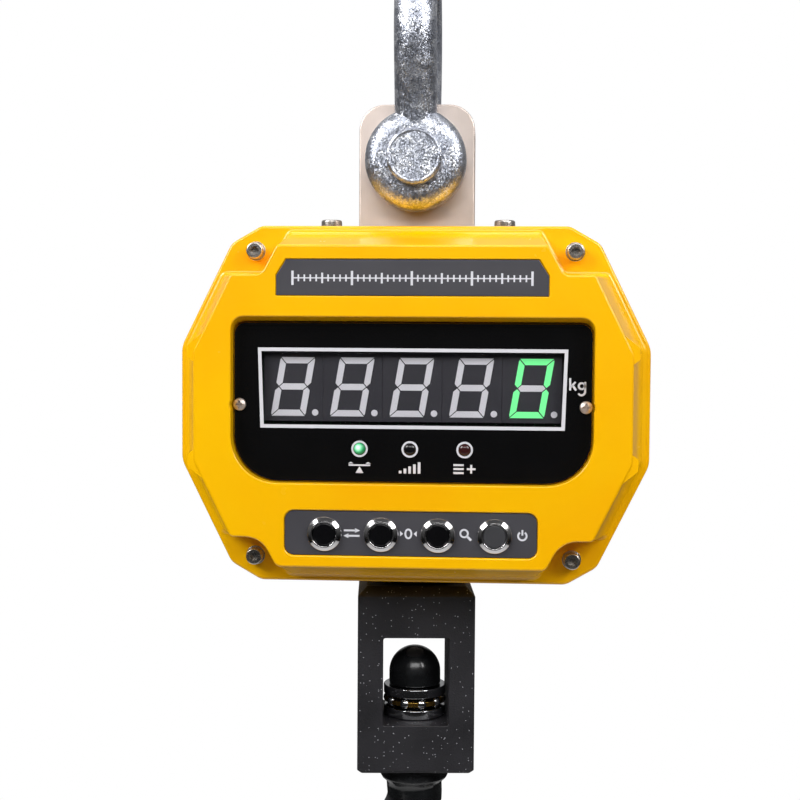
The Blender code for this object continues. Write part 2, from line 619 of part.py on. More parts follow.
def battery(plastic, scale):
    block = prism(rounded([(0.035, -0.050, 0.002), (0.035, 0.050, 0.002), (-0.035, 0.050, 0.002),
                           (-0.035, -0.050, 0.002)], 1), 0.0200, 0.0665)
    return piece("battery", block, plastic, (0, 0, PIN_Z), scale)


def face_plates(grey, scale):
    strip = prism(strip_outline(GAP), FACE_Y + 0.0001, FACE_Y + 0.0009)
    piece("name_plate", strip, grey, (0, 0, PIN_Z), scale)
    plate = prism(plate_outline(GAP), FACE_Y + 0.0008, FACE_Y + 0.0017)
    holes = [rod(KEY_BARREL_R + GAP, FACE_Y - 0.01, FACE_Y + 0.01, 18, at(x, 0, KEY_H)) for x in KEY_X]
    piece("key_plate", cut(plate, *holes), grey, (0, 0, PIN_Z), scale)


def keys(chrome, plastic, scale):
    """Four push buttons: a chrome housing through the plate, and a cap that slides in it."""
    under = FACE_Y + 0.0008 - GAP
    top = under - 0.0022
    inner = KEY_CAP_R + 0.0002
    floor = top + 0.0102
    rear = under + 0.019
    for k, x in enumerate(KEY_X):
        centre = at(x, 0, KEY_H)
        housing = [(0, floor), (inner, floor), (inner, top + 0.0004), (inner + 0.0004, top), (KEY_BEZEL_R - 0.0011, top),
                   (KEY_BEZEL_R, top + 0.0011), (KEY_BEZEL_R, under), (KEY_BARREL_R, under), (KEY_BARREL_R, rear),
                   (0, rear)]
        piece(f"button_body_{k + 1}", turned(housing, 18, centre), chrome, (0, 0, PIN_Z), scale)
        front = top + 0.0003
        cap = [(0, front), (KEY_CAP_R - 0.0006, front), (KEY_CAP_R, front + 0.0006), (KEY_CAP_R, floor - 0.0019),
               (0, floor - 0.0019)]
        mover = pivot_empty(f"key_{k + 1}_slide", at(x, front, KEY_H), scale)
        piece(f"button_cap_{k + 1}", turned(cap, 18, centre), plastic, at(x, front, KEY_H), mover)


# ---- block, bearing and hook -----------------------------------------------------------------


def hook_block(paint, steel, scale):
    """Block with a bay right through it, a stud hole above and a shank hole below."""
    def ring(h, inset, corner=0.002):
        w, d = BLOCK_HALF_W - inset, BLOCK_HALF_D - inset
        return [at(x, y, h) for x, y in rounded([(w, -d, corner), (w, d, corner), (-w, d, corner),
                                                 (-w, -d, corner)], 2)]
    block = lofted([ring(BLOCK_LOW_H, BLOCK_EDGE), ring(BLOCK_LOW_H + BLOCK_EDGE, 0),
                    ring(BLOCK_TOP_H - BLOCK_CHAMFER, 0), ring(BLOCK_TOP_H, BLOCK_CHAMFER)])
    bay = prism(rounded([(BAY_HALF_W, BAY_LOW_H, 0), (BAY_HALF_W, BAY_TOP_H, 0.003), (-BAY_HALF_W, BAY_TOP_H, 0.003),
                         (-BAY_HALF_W, BAY_LOW_H, 0)], 2), -0.04, 0.04)
    stud = rod(STUD_R + GAP, BAY_TOP_H - 0.01, BLOCK_TOP_H + 0.01, 24, at(0, 0, 0), "Z")
    shank = rod(SHANK_R + 0.0006, BLOCK_LOW_H - 0.01, BAY_LOW_H + 0.01, 24, at(0, 0, 0), "Z")
    cross_h = BLOCK_TOP_H - 0.0135
    cross = rod(0.0043, -0.04, 0.04, 16, at(0, 0, cross_h), "X")
    block = spun(cut(block, bay, stud, shank, cross), BLOCK_YAW)
    piece("hook_block", block, paint, (0, 0, PIN_Z), scale)
    pin = spun(rod(0.0040, -0.0285, 0.0285, 16, at(0, 0, cross_h), "X"), BLOCK_YAW)
    piece("stud_pin", pin, steel, (0, 0, PIN_Z), scale)


def bearing(steel, brass, black, scale, swivel, cage):
    """Thrust bearing under the domed nut: the nut and the upper race turn with the hook."""
    pivot = at(0, 0, BOWL_H)

    def race(name, low, high, parent):
        profile = [(RACE_IN_R, low), (RACE_OUT_R, low), (RACE_OUT_R, high), (RACE_IN_R, high)]
        piece(name, turned(profile, 24, at(0, 0, 0), "Z"), steel, pivot, parent)

    upper = NUT_LOW_H - GAP - RACE_T
    lower = upper - 2 * (BALL_R + GAP)
    race("bearing_upper_race", upper, upper + RACE_T, swivel)
    race("bearing_lower_race", BAY_LOW_H + GAP, lower, scale)
    mid = (upper + lower) / 2
    ring = turned([(0.0124, mid - 0.0012), (0.0162, mid - 0.0012), (0.0162, mid + 0.0012), (0.0124, mid + 0.0012)],
                  24, at(0, 0, 0), "Z")
    balls = []
    for k in range(8):
        angle = 2 * math.pi * k / 8
        ball = bmesh.new()
        bmesh.ops.create_uvsphere(ball, u_segments=6, v_segments=4, radius=BALL_R)
        bmesh.ops.translate(ball, verts=ball.verts,
                            vec=at(BALL_PITCH_R * math.cos(angle), BALL_PITCH_R * math.sin(angle), mid))
        balls.append(ball)
    piece("bearing_cage", join(ring, *balls), brass, pivot, cage)
    top, low = NUT_TOP_H, NUT_LOW_H
    profile = [(0, top - NUT_CAP_T), (THREAD_R + GAP, top - NUT_CAP_T), (THREAD_R + GAP, low), (NUT_R, low)]
    for k in range(6):
        angle = math.radians(15 * k)
        profile.append((NUT_R * math.cos(angle), top - NUT_R + NUT_R * math.sin(angle)))
    profile.append((0, top - NUT_R + NUT_R * math.sin(math.radians(75))))
    piece("hook_nut", turned(profile, 20, at(0, 0, 0), "Z"), black, pivot, swivel)


def hook_sections():
    """(x, up from the bowl's centre, travel direction, half depth, half width), from the shank to the tip."""
    thread_top = NUT_TOP_H - NUT_CAP_T - 0.0003
    shank = [(thread_top, THREAD_R - 0.001), (thread_top - 0.001, THREAD_R), (BAY_LOW_H - 0.0005, THREAD_R),
             (BAY_LOW_H - 0.0006, SHANK_R), (BLOCK_LOW_H - 0.002, SHANK_R), (BLOCK_LOW_H - 0.0021, SHANK_R + 0.0035),
             (BLOCK_LOW_H - 0.008, SHANK_R + 0.0035), (BLOCK_LOW_H - 0.011, SHANK_R)]
    sections = [(Vector((0, h - BOWL_H)), r, r) for h, r in shank]
    sections += [(Vector((0, 0.074)), 0.0150, 0.0148), (Vector((-0.0045, 0.0625)), 0.0155, 0.0148),
                 (Vector((-0.0140, 0.0510)), 0.0160, 0.0148), (Vector((-0.0245, 0.0400)), 0.0165, 0.0148)]
    for angle, half in ((146, 0.0172), (165, 0.0180), (184, 0.0186), (203, 0.0194), (222, 0.0204), (241, 0.0214),
                        (260, 0.0220), (279, 0.0220), (298, 0.0210), (317, 0.0192), (335, 0.0168), (352, 0.0142),
                        (367, 0.0114)):
        reach = BOWL_R + half
        turn = math.radians(angle)
        width = 0.0148 * min(1.0, 0.42 + half / 0.0300)
        sections.append((Vector((reach * math.cos(turn), reach * math.sin(turn))), half, width))
    sections += [(Vector((0.0372, 0.0135)), 0.0088, 0.0092), (Vector((0.0392, 0.0215)), 0.0060, 0.0074),
                 (Vector((0.0412, 0.0262)), 0.0036, 0.0050)]
    return sections


def hook(metal, swivel):
    """Forged hook: one loft from its threaded shank round the bowl to the tip, with a lug for the latch."""
    sections = hook_sections()
    rings = []
    for i, (place, half, width) in enumerate(sections):
        if i < 8:
            ahead = Vector((0, -1))
        else:
            ahead = (sections[min(i + 1, len(sections) - 1)][0] - sections[i - 1][0]).normalized()
        inward = Vector((-ahead.y, ahead.x))
        ring = []
        for k in range(16):
            t = 2 * math.pi * k / 16
            swell = 1 + (0.16 * math.cos(t) if i > 9 else 0)
            across = place + inward * half * math.cos(t)
            ring.append(Vector((across.x, width * swell * math.sin(t), CASE_Z + BOWL_H + across.y)))
        rings.append(ring)
    body = lofted(rings)
    pivot = BOWL_H + LATCH_UP
    lug = prism(rounded([(LATCH_X + 0.0045, pivot - 0.0045, 0.004), (LATCH_X + 0.0045, pivot + 0.0045, 0.004),
                         (0.004, pivot + 0.010, 0), (0.004, pivot - 0.008, 0)], 4), -0.0028, 0.0028)
    body = join(body, lug)
    body = cut(body, rod(0.0022, -0.01, 0.01, 14, at(LATCH_X, 0, pivot)))
    return piece("hook", body, metal, at(0, 0, BOWL_H), swivel)


def latch_parts(metal, spring_steel, swivel, swinger):
    """Pressed safety latch: two cheeks on the pin and a tongue that rests inside the tip."""
    pivot = at(LATCH_X, 0, BOWL_H + LATCH_UP)
    ahead = Vector((math.sin(LATCH_LEAN), 0, -math.cos(LATCH_LEAN)))
    side = Vector((math.cos(LATCH_LEAN), 0, math.sin(LATCH_LEAN)))

    def slab(start, end, thick_low, thick_high, half_w, half_w_end=None):
        rings = []
        for along, w in ((start, half_w), (end, half_w_end or half_w)):
            rings.append([pivot + ahead * along + side * t + Vector((0, y, 0))
                          for t, y in ((thick_low, -w), (thick_high, -w), (thick_high, w), (thick_low, w))])
        return lofted(rings)

    tongue = slab(0.0075, LATCH_LEN, 0.0020, 0.0036, 0.0076, 0.0052)
    cheeks = []
    for turn in (-1, 1):
        inner, outer = 0.0062, 0.0076
        disc = rod(0.0048, min(turn * inner, turn * outer), max(turn * inner, turn * outer), 16, pivot)
        arm = slab(0.0, 0.020, -0.0030, 0.0034, 0.0007)
        bmesh.ops.translate(arm, verts=arm.verts, vec=(0, turn * 0.0069, 0))
        cheeks += [disc, arm]
    body = join(tongue, *cheeks)
    body = cut(body, rod(0.0022, -0.02, 0.02, 14, pivot))
    piece("latch", body, metal, pivot, swinger)
    shaft = [(0, -0.0092), (0.0030, -0.0092), (0.0030, -0.0079), (0.0019, -0.0079), (0.0019, 0.0079),
             (0.0030, 0.0079), (0.0030, 0.0092), (0, 0.0092)]
    piece("latch_pin", turned(shaft, 14, pivot), metal, pivot, swivel)
    wire, coil_r, turns, steps = 0.00042, 0.0030, 2.25, 24
    rings = []
    for k in range(steps + 1):
        t = 2 * math.pi * turns * k / steps
        out = Vector((math.cos(t), 0, math.sin(t)))
        centre = pivot + out * coil_r + Vector((0, 0.0033 + 0.0021 * k / steps, 0))
        rings.append([centre + (out * math.cos(a) + Vector((0, 1, 0)) * math.sin(a)) * wire
                      for a in (2 * math.pi * j / 5 for j in range(5))])
    piece("latch_spring", lofted(rings), spring_steel, pivot, swivel)


def main():
    for thing in list(bpy.data.objects):
        bpy.data.objects.remove(thing)
    galvanised = finish("hot_dip_galvanised_steel", (0.62, 0.64, 0.67), 0.38, 1.0)
    nickel = finish("nickel_plated_steel", (0.66, 0.61, 0.58), 0.30, 1.0)
    enamel = finish("yellow_enamel", (0.98, 0.53, 0.0), 0.25)
    rubber = finish("black_rubber", (0.015, 0.015, 0.015), 0.8)
    steel = finish("stainless_steel", (0.63, 0.61, 0.59), 0.25, 1.0)
    bright = finish("bearing_steel", (0.70, 0.70, 0.72), 0.15, 1.0)
    brass = finish("brass", (0.80, 0.55, 0.20), 0.3, 1.0)
    gloss_black = finish("gloss_black_acrylic", (0.006, 0.006, 0.007), 0.08)
    tint = finish("smoked_acrylic", (0.03, 0.03, 0.035), 0.1)
    white = finish("light_grey_plastic", (0.55, 0.55, 0.58), 0.5)
    grey = finish("grey_label", (0.06, 0.06, 0.065), 0.5)
    chrome = finish("chrome", (0.80, 0.80, 0.82), 0.06, 1.0)
    board = finish("green_circuit_board", (0.02, 0.18, 0.06), 0.45)
    cell_case = finish("battery_case", (0.05, 0.05, 0.06), 0.5)
    powder = finish("black_powder_coat", (0.018, 0.018, 0.018), 0.7)
    forged = finish("black_enamelled_forging", (0.02, 0.02, 0.02), 0.3)
    zinc = finish("zinc_plated_sheet", (0.60, 0.60, 0.58), 0.35, 1.0)
    glow = [finish("green_lamp", (0.15, 0.85, 0.35), 0.2), finish("dark_lamp", (0.05, 0.05, 0.05), 0.2),
            finish("red_lamp", (0.10, 0.01, 0.01), 0.2)]

    shackle_bow(galvanised)
    shackle_pin(galvanised)
    scale = pivot_empty("scale_swing", (0, 0, PIN_Z))
    load_cell(nickel, scale)
    gauge_cover(steel, scale)
    seals(rubber, scale)
    cell_bracket(zinc, scale)
    top_bolts(steel, scale)
    front_cover(enamel, scale)
    rear_cover(enamel, scale)
    battery_door(enamel, steel, scale)
    charger_parts(chrome, rubber, scale)
    case_gasket(rubber, scale)
    case_screws(steel, scale)
    display_panel(gloss_black, scale)
    display_filter(tint, scale)
    panel_screws(steel, scale)
    digits(white, scale)
    lamps(glow, scale)
    boards(board, scale)
    battery(cell_case, scale)
    face_plates(grey, scale)
    keys(chrome, gloss_black, scale)
    hook_block(powder, steel, scale)
    swivel = pivot_empty("hook_swivel", at(0, 0, BOWL_H), scale)
    cage = pivot_empty("cage_turn", at(0, 0, BOWL_H), scale)
    bearing(bright, brass, forged, scale, swivel, cage)
    hook(forged, swivel)
    swinger = pivot_empty("latch_swing", at(LATCH_X, 0, BOWL_H + LATCH_UP), swivel)
    latch_parts(zinc, bright, swivel, swinger)


main()
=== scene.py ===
import json
import math

import bmesh
import bpy
from mathutils import Matrix, Vector


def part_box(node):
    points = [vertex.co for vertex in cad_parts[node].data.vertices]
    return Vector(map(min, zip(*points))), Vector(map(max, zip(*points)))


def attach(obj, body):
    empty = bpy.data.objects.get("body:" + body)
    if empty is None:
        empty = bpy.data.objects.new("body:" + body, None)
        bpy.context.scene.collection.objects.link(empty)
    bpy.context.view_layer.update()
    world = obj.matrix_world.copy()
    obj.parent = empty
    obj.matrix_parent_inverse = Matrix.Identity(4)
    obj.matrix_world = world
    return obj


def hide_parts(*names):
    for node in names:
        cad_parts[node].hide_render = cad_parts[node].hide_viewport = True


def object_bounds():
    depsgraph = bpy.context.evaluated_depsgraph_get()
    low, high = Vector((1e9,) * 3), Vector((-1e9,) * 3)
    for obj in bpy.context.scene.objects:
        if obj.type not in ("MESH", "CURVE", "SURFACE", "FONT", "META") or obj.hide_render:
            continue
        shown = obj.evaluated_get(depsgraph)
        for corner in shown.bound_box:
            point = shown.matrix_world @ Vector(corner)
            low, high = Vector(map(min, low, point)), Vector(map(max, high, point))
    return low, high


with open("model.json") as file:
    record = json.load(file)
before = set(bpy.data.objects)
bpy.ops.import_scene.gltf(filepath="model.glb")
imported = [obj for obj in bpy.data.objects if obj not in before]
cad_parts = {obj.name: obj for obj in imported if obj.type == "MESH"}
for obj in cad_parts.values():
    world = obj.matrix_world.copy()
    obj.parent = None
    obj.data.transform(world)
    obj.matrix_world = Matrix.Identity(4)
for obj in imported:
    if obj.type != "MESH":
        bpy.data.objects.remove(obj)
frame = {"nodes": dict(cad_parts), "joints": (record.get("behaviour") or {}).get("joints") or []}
cadLow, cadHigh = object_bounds()

jointPlace = {joint["name"]: joint.get("pos_m") for joint in frame["joints"]}
pinZ = jointPlace["scale_swing"][2]  # the shackle pin's axis
bowlZ = jointPlace["hook_swivel"][2]  # centre of the hook's bowl
latchPivot = Vector(jointPlace["latch_swing"])
coverLow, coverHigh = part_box("front_cover")
rearLow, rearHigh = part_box("rear_cover")
caseZ = (coverLow.z + coverHigh.z) / 2
faceY = coverLow.y
gap = 0.0003


def at(x, y, h):
    return Vector((x, y, caseZ + h))


def arcPath(corners, steps=6, closed=True):
    # corners are (a, b, radius); every rounded corner becomes steps + 1 points
    path = []
    count = len(corners)
    for i, (a, b, radius) in enumerate(corners):
        here = Vector((a, b))
        if radius <= 0 or (not closed and i in (0, count - 1)):
            path.append(here)
            continue
        back = (Vector(corners[i - 1][:2]) - here).normalized()
        ahead = (Vector(corners[(i + 1) % count][:2]) - here).normalized()
        half = back.angle(ahead) / 2
        centre = here + (back + ahead).normalized() * radius / math.sin(half)
        start = here + back * radius / math.tan(half) - centre
        end = here + ahead * radius / math.tan(half) - centre
        turn = start.angle_signed(end)
        for step in range(steps + 1):
            spoke = start.copy()
            spoke.rotate(Matrix.Rotation(-turn * step / steps, 2))
            path.append(centre + spoke)
    return path


def loft(rings, closed=False):
    shape = bmesh.new()
    loops = [[shape.verts.new(point) for point in ring] for ring in rings]
    pairs = list(zip(loops, loops[1:])) + ([(loops[-1], loops[0])] if closed else [])
    for first, second in pairs:
        for i in range(len(first)):
            j = (i + 1) % len(first)
            shape.faces.new((first[i], first[j], second[j], second[i]))
    if not closed:
        shape.faces.new(loops[0])
        shape.faces.new(loops[-1])
    bmesh.ops.recalc_face_normals(shape, faces=shape.faces)
    return shape


def lathe(profile, steps, centre, axis="Y", bevelSteps=4):
    # profile is (radius, distance along the axis, corner radius); radius 0 at both ends makes it solid
    solid = profile[0][0] == 0
    line = arcPath(profile, bevelSteps, closed=not solid)
    line = [p for p in line if p.x > 1e-7]
    rings = []
    for p in line:
        ring = []
        for k in range(steps):
            u, v = p.x * math.cos(math.tau * k / steps), p.x * math.sin(math.tau * k / steps)
            ring.append(Vector(centre) + Vector({"X": (p.y, u, v), "Y": (u, p.y, v), "Z": (u, v, p.y)}[axis]))
        rings.append(ring)
    return loft(rings, closed=not solid)


def bar(radius, start, end, steps, centre, axis="Y"):
    return lathe([(0, start, 0), (radius, start, 0), (radius, end, 0), (0, end, 0)], steps, centre, axis)


def slab(outline, y0, y1):
    return loft([[at(x, y, z) for x, z in outline] for y in (y0, y1)])


def block(x0, x1, y0, y1, h0, h1):
    return slab([(x0, h0), (x1, h0), (x1, h1), (x0, h1)], y0, y1)


def rounding(edge, steps=5):
    # how far back and how far in a rounded edge is, from its start to its end
    turns = [math.pi / 2 * k / steps for k in range(steps + 1)]
    return [(edge * (1 - math.sin(t)), edge * (1 - math.cos(t))) for t in turns]


def softBlock(x0, x1, y0, y1, z0, z1, corner, edge, steps=4):
    # upright block with round corners and softened rims; heights are absolute
    def ring(z, grow):
        w, e, s, n = x0 - grow, x1 + grow, y0 - grow, y1 + grow
        r = max(corner + grow, 0.0002)
        return [Vector((p.x, p.y, z)) for p in arcPath([(e, s, r), (e, n, r), (w, n, r), (w, s, r)], steps)]

    rings = [ring(z0 + back, -inward) for back, inward in reversed(rounding(edge, steps))]
    rings += [ring(z1 - back, -inward) for back, inward in rounding(edge, steps)]
    return loft(rings)


def spun(shape, angle, centre=(0, 0, 0), axis="Z"):
    bmesh.ops.rotate(shape, verts=shape.verts, cent=Vector(centre), matrix=Matrix.Rotation(angle, 3, axis))
    return shape


def moved(shape, offset):
    bmesh.ops.translate(shape, verts=shape.verts, vec=offset)
    return shape


def merged(*shapes):
    # several separate bodies in one mesh
    whole = bmesh.new()
    for shape in shapes:
        mesh = bpy.data.meshes.new("part")
        shape.to_mesh(mesh)
        whole.from_mesh(mesh)
        bpy.data.meshes.remove(mesh)
    return whole


def tool(name, shape):
    mesh = bpy.data.meshes.new(name)
    shape.to_mesh(mesh)
    thing = bpy.data.objects.new(name, mesh)
    bpy.context.scene.collection.objects.link(thing)
    return thing


def boolean(shape, tools, operation="DIFFERENCE"):
    body = tool("body", shape)
    helpers = [tool("helper", other) for other in tools]
    for helper in helpers:
        step = body.modifiers.new("cut", "BOOLEAN")
        step.operation = operation
        step.solver = "EXACT"
        step.object = helper
    mesh = bpy.data.meshes.new_from_object(body.evaluated_get(bpy.context.evaluated_depsgraph_get()))
    result = bmesh.new()
    result.from_mesh(mesh)
    for thing in (body, *helpers):
        bpy.data.objects.remove(thing)
    bmesh.ops.remove_doubles(result, verts=result.verts, dist=2e-6)
    return result


def cut(shape, *tools):
    return boolean(shape, tools)


def join(shape, *tools):
    return boolean(shape, tools, "UNION")


def piece(name, shape, material, body, nodes=(), slot=None, sharp=34, weighted=True):
    # turns a bmesh or mesh into one finished piece that rides on a body
    if isinstance(shape, bmesh.types.BMesh):
        mesh = bpy.data.meshes.new(name)
        shape.to_mesh(mesh)
        shape.free()
    else:
        mesh = shape
        mesh.name = name
    mesh.materials.clear()
    mesh.materials.append(material)
    mesh.shade_smooth()
    mesh.set_sharp_from_angle(angle=math.radians(sharp))
    thing = bpy.data.objects.new(name, mesh)
    bpy.context.scene.collection.objects.link(thing)
    if weighted:
        normals = thing.modifiers.new("even shading", "WEIGHTED_NORMAL")
        normals.keep_sharp = True
    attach(thing, body)
    if nodes:
        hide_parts(*nodes)
    return thing


def linear(hexText):
    channels = [int(hexText[i:i + 2], 16) / 255 for i in (1, 3, 5)]
    return (*[c / 12.92 if c <= 0.04045 else ((c + 0.055) / 1.055) ** 2.4 for c in channels], 1.0)


def add(tree, kind, links=None, **settings):
    # one node with its settings; links feeds its inputs with sockets or plain values
    made = tree.nodes.new(kind)
    for name, value in settings.items():
        if name == "stops":
            ramp = made.color_ramp
            while len(ramp.elements) < len(value):
                ramp.elements.new(0.5)
            for element, (place, colour) in zip(ramp.elements, value):
                element.position = place
                element.color = colour
        else:
            setattr(made, name, value)
    for name, value in (links or {}).items():
        if isinstance(value, bpy.types.NodeSocket):
            tree.links.new(value, made.inputs[name])
        else:
            made.inputs[name].default_value = value
    return made


def startMaterial(name, **values):
    # a Principled material; values are its socket names in camelCase
    material = bpy.data.materials.new(name)
    material.use_nodes = True
    tree = material.node_tree
    shader = tree.nodes["Principled BSDF"]
    sockets = {"base": "Base Color", "metallic": "Metallic", "roughness": "Roughness", "ior": "IOR", "alpha": "Alpha",
               "coat": "Coat Weight", "coatRoughness": "Coat Roughness", "emission": "Emission Color",
               "glow": "Emission Strength", "specular": "Specular IOR Level", "transmission": "Transmission Weight",
               "anisotropic": "Anisotropic", "subsurface": "Subsurface Weight"}
    for key, value in values.items():
        shader.inputs[sockets[key]].default_value = linear(value) if isinstance(value, str) else value
    material.diffuse_color = shader.inputs["Base Color"].default_value
    where = add(tree, "ShaderNodeTexCoord")
    return material, tree, shader, where.outputs["Object"]


def yellowEnamelMaterial():
    # stoved enamel on a casting: even golden yellow, wet gloss over a faint orange peel
    material, tree, shader, place = startMaterial("stovedYellowEnamel", base="#FFB400", roughness=0.28, coat=0.35,
                                                  coatRoughness=0.06, ior=1.45)
    clouds = add(tree, "ShaderNodeTexNoise", {"Vector": place, "Scale": 14.0, "Detail": 3.0})
    tone = add(tree, "ShaderNodeValToRGB", {"Fac": clouds.outputs["Fac"]},
               stops=[(0.3, linear(enamel["deep"])), (0.7, linear(enamel["bright"]))])
    tree.links.new(tone.outputs["Color"], shader.inputs["Base Color"])
    peel = add(tree, "ShaderNodeTexNoise", {"Vector": place, "Scale": 1000 / enamel["peelMm"], "Detail": 2.0})
    swell = add(tree, "ShaderNodeTexNoise", {"Vector": place, "Scale": 1000 / enamel["castMm"], "Detail": 2.0})
    lift = add(tree, "ShaderNodeMath", {0: peel.outputs["Fac"], 1: swell.outputs["Fac"]}, operation="ADD")
    bump = add(tree, "ShaderNodeBump", {"Height": lift.outputs["Value"], "Strength": 0.09, "Distance": 0.0006})
    tree.links.new(bump.outputs["Normal"], shader.inputs["Normal"])
    wear = add(tree, "ShaderNodeMapRange", {"Value": swell.outputs["Fac"], "To Min": 0.20, "To Max": 0.30})
    tree.links.new(wear.outputs["Result"], shader.inputs["Roughness"])
    return material


def galvanisedMaterial():
    # hot-dip zinc: a mosaic of crystals, each with its own tilt and grey, over a slightly lumpy drain surface
    material, tree, shader, place = startMaterial("hotDipZinc", base="#C9CCD4", metallic=1.0, roughness=0.32)
    ripple = add(tree, "ShaderNodeTexNoise", {"Vector": place, "Scale": 260.0, "Detail": 3.0})
    bent = add(tree, "ShaderNodeMix", {0: 0.0016, 4: place, 5: ripple.outputs["Color"]}, data_type="VECTOR")
    bent.blend_type = "MIX"
    crystals = add(tree, "ShaderNodeTexVoronoi", {"Vector": bent.outputs[1], "Scale": 1000 / zinc["crystalMm"]})
    flakes = add(tree, "ShaderNodeTexVoronoi", {"Vector": bent.outputs[1], "Scale": 1000 / zinc["flakeMm"]})
    grey = add(tree, "ShaderNodeMix", {0: 0.5, 6: crystals.outputs["Color"], 7: flakes.outputs["Color"]},
               data_type="RGBA")
    light = add(tree, "ShaderNodeSeparateColor", {"Color": grey.outputs[2]})
    tone = add(tree, "ShaderNodeValToRGB", {"Fac": light.outputs["Red"]},
               stops=[(0.15, linear(zinc["dark"])), (0.55, linear(zinc["mid"])), (0.85, linear(zinc["pale"]))])
    tree.links.new(tone.outputs["Color"], shader.inputs["Base Color"])
    gloss = add(tree, "ShaderNodeMapRange", {"Value": light.outputs["Green"], "To Min": 0.28, "To Max": 0.52})
    tree.links.new(gloss.outputs["Result"], shader.inputs["Roughness"])
    facing = add(tree, "ShaderNodeNewGeometry")
    tilt = add(tree, "ShaderNodeVectorMath", {0: flakes.outputs["Color"], 1: (0.5, 0.5, 0.5)}, operation="SUBTRACT")
    tilted = add(tree, "ShaderNodeVectorMath", {0: tilt.outputs["Vector"], 1: (zinc["tilt"],) * 3,
                                                2: facing.outputs["Normal"]}, operation="MULTIPLY_ADD")
    even = add(tree, "ShaderNodeVectorMath", {0: tilted.outputs["Vector"]}, operation="NORMALIZE")
    lumps = add(tree, "ShaderNodeTexNoise", {"Vector": place, "Scale": 90.0, "Detail": 4.0})
    bump = add(tree, "ShaderNodeBump", {"Height": lumps.outputs["Fac"], "Normal": even.outputs["Vector"],
                                        "Strength": 0.35, "Distance": 0.0012})
    tree.links.new(bump.outputs["Normal"], shader.inputs["Normal"])
    return material


def grainedMetal(name, base, roughness, stretch, grainMm, strength, spread=0.1, shine=1.0):
    # metal with a fine lay of marks; stretch is how much each axis of the grain is drawn out
    material, tree, shader, place = startMaterial(name, base=base, metallic=1.0, roughness=roughness)
    lay = add(tree, "ShaderNodeMapping", {"Vector": place, "Scale": stretch})
    grain = add(tree, "ShaderNodeTexNoise", {"Vector": lay.outputs["Vector"], "Scale": 1000 / grainMm, "Detail": 3.0})
    stain = add(tree, "ShaderNodeTexNoise", {"Vector": place, "Scale": 45.0, "Detail": 4.0})
    dark = [c * 0.80 * shine for c in linear(base)[:3]] + [1.0]
    tone = add(tree, "ShaderNodeValToRGB", {"Fac": stain.outputs["Fac"]},
               stops=[(0.25, dark), (0.75, linear(base))])
    tree.links.new(tone.outputs["Color"], shader.inputs["Base Color"])
    mixed = add(tree, "ShaderNodeMath", {0: grain.outputs["Fac"], 1: stain.outputs["Fac"]}, operation="MULTIPLY")
    gloss = add(tree, "ShaderNodeMapRange", {"Value": mixed.outputs["Value"], "From Max": 0.5,
                                             "To Min": max(0.02, roughness - spread), "To Max": roughness + spread})
    tree.links.new(gloss.outputs["Result"], shader.inputs["Roughness"])
    bump = add(tree, "ShaderNodeBump", {"Height": grain.outputs["Fac"], "Strength": strength, "Distance": 0.0002})
    tree.links.new(bump.outputs["Normal"], shader.inputs["Normal"])
    return material


def mouldedMaterial(name, base, roughness, grainMm=0.8, strength=0.08, fade=0.75, **more):
    # plastic, rubber or ink: a fine moulded grain and a little patchiness
    material, tree, shader, place = startMaterial(name, base=base, roughness=roughness, **more)
    grain = add(tree, "ShaderNodeTexNoise", {"Vector": place, "Scale": 1000 / grainMm, "Detail": 2.0})
    patch = add(tree, "ShaderNodeTexNoise", {"Vector": place, "Scale": 60.0, "Detail": 3.0})
    dark = [c * fade for c in linear(base)[:3]] + [1.0]
    tone = add(tree, "ShaderNodeValToRGB", {"Fac": patch.outputs["Fac"]}, stops=[(0.2, dark), (0.7, linear(base))])
    tree.links.new(tone.outputs["Color"], shader.inputs["Base Color"])
    gloss = add(tree, "ShaderNodeMapRange", {"Value": patch.outputs["Fac"], "To Min": roughness * 0.8,
                                             "To Max": min(1.0, roughness * 1.25)})
    tree.links.new(gloss.outputs["Result"], shader.inputs["Roughness"])
    bump = add(tree, "ShaderNodeBump", {"Height": grain.outputs["Fac"], "Strength": strength, "Distance": 0.0002})
    tree.links.new(bump.outputs["Normal"], shader.inputs["Normal"])
    return material


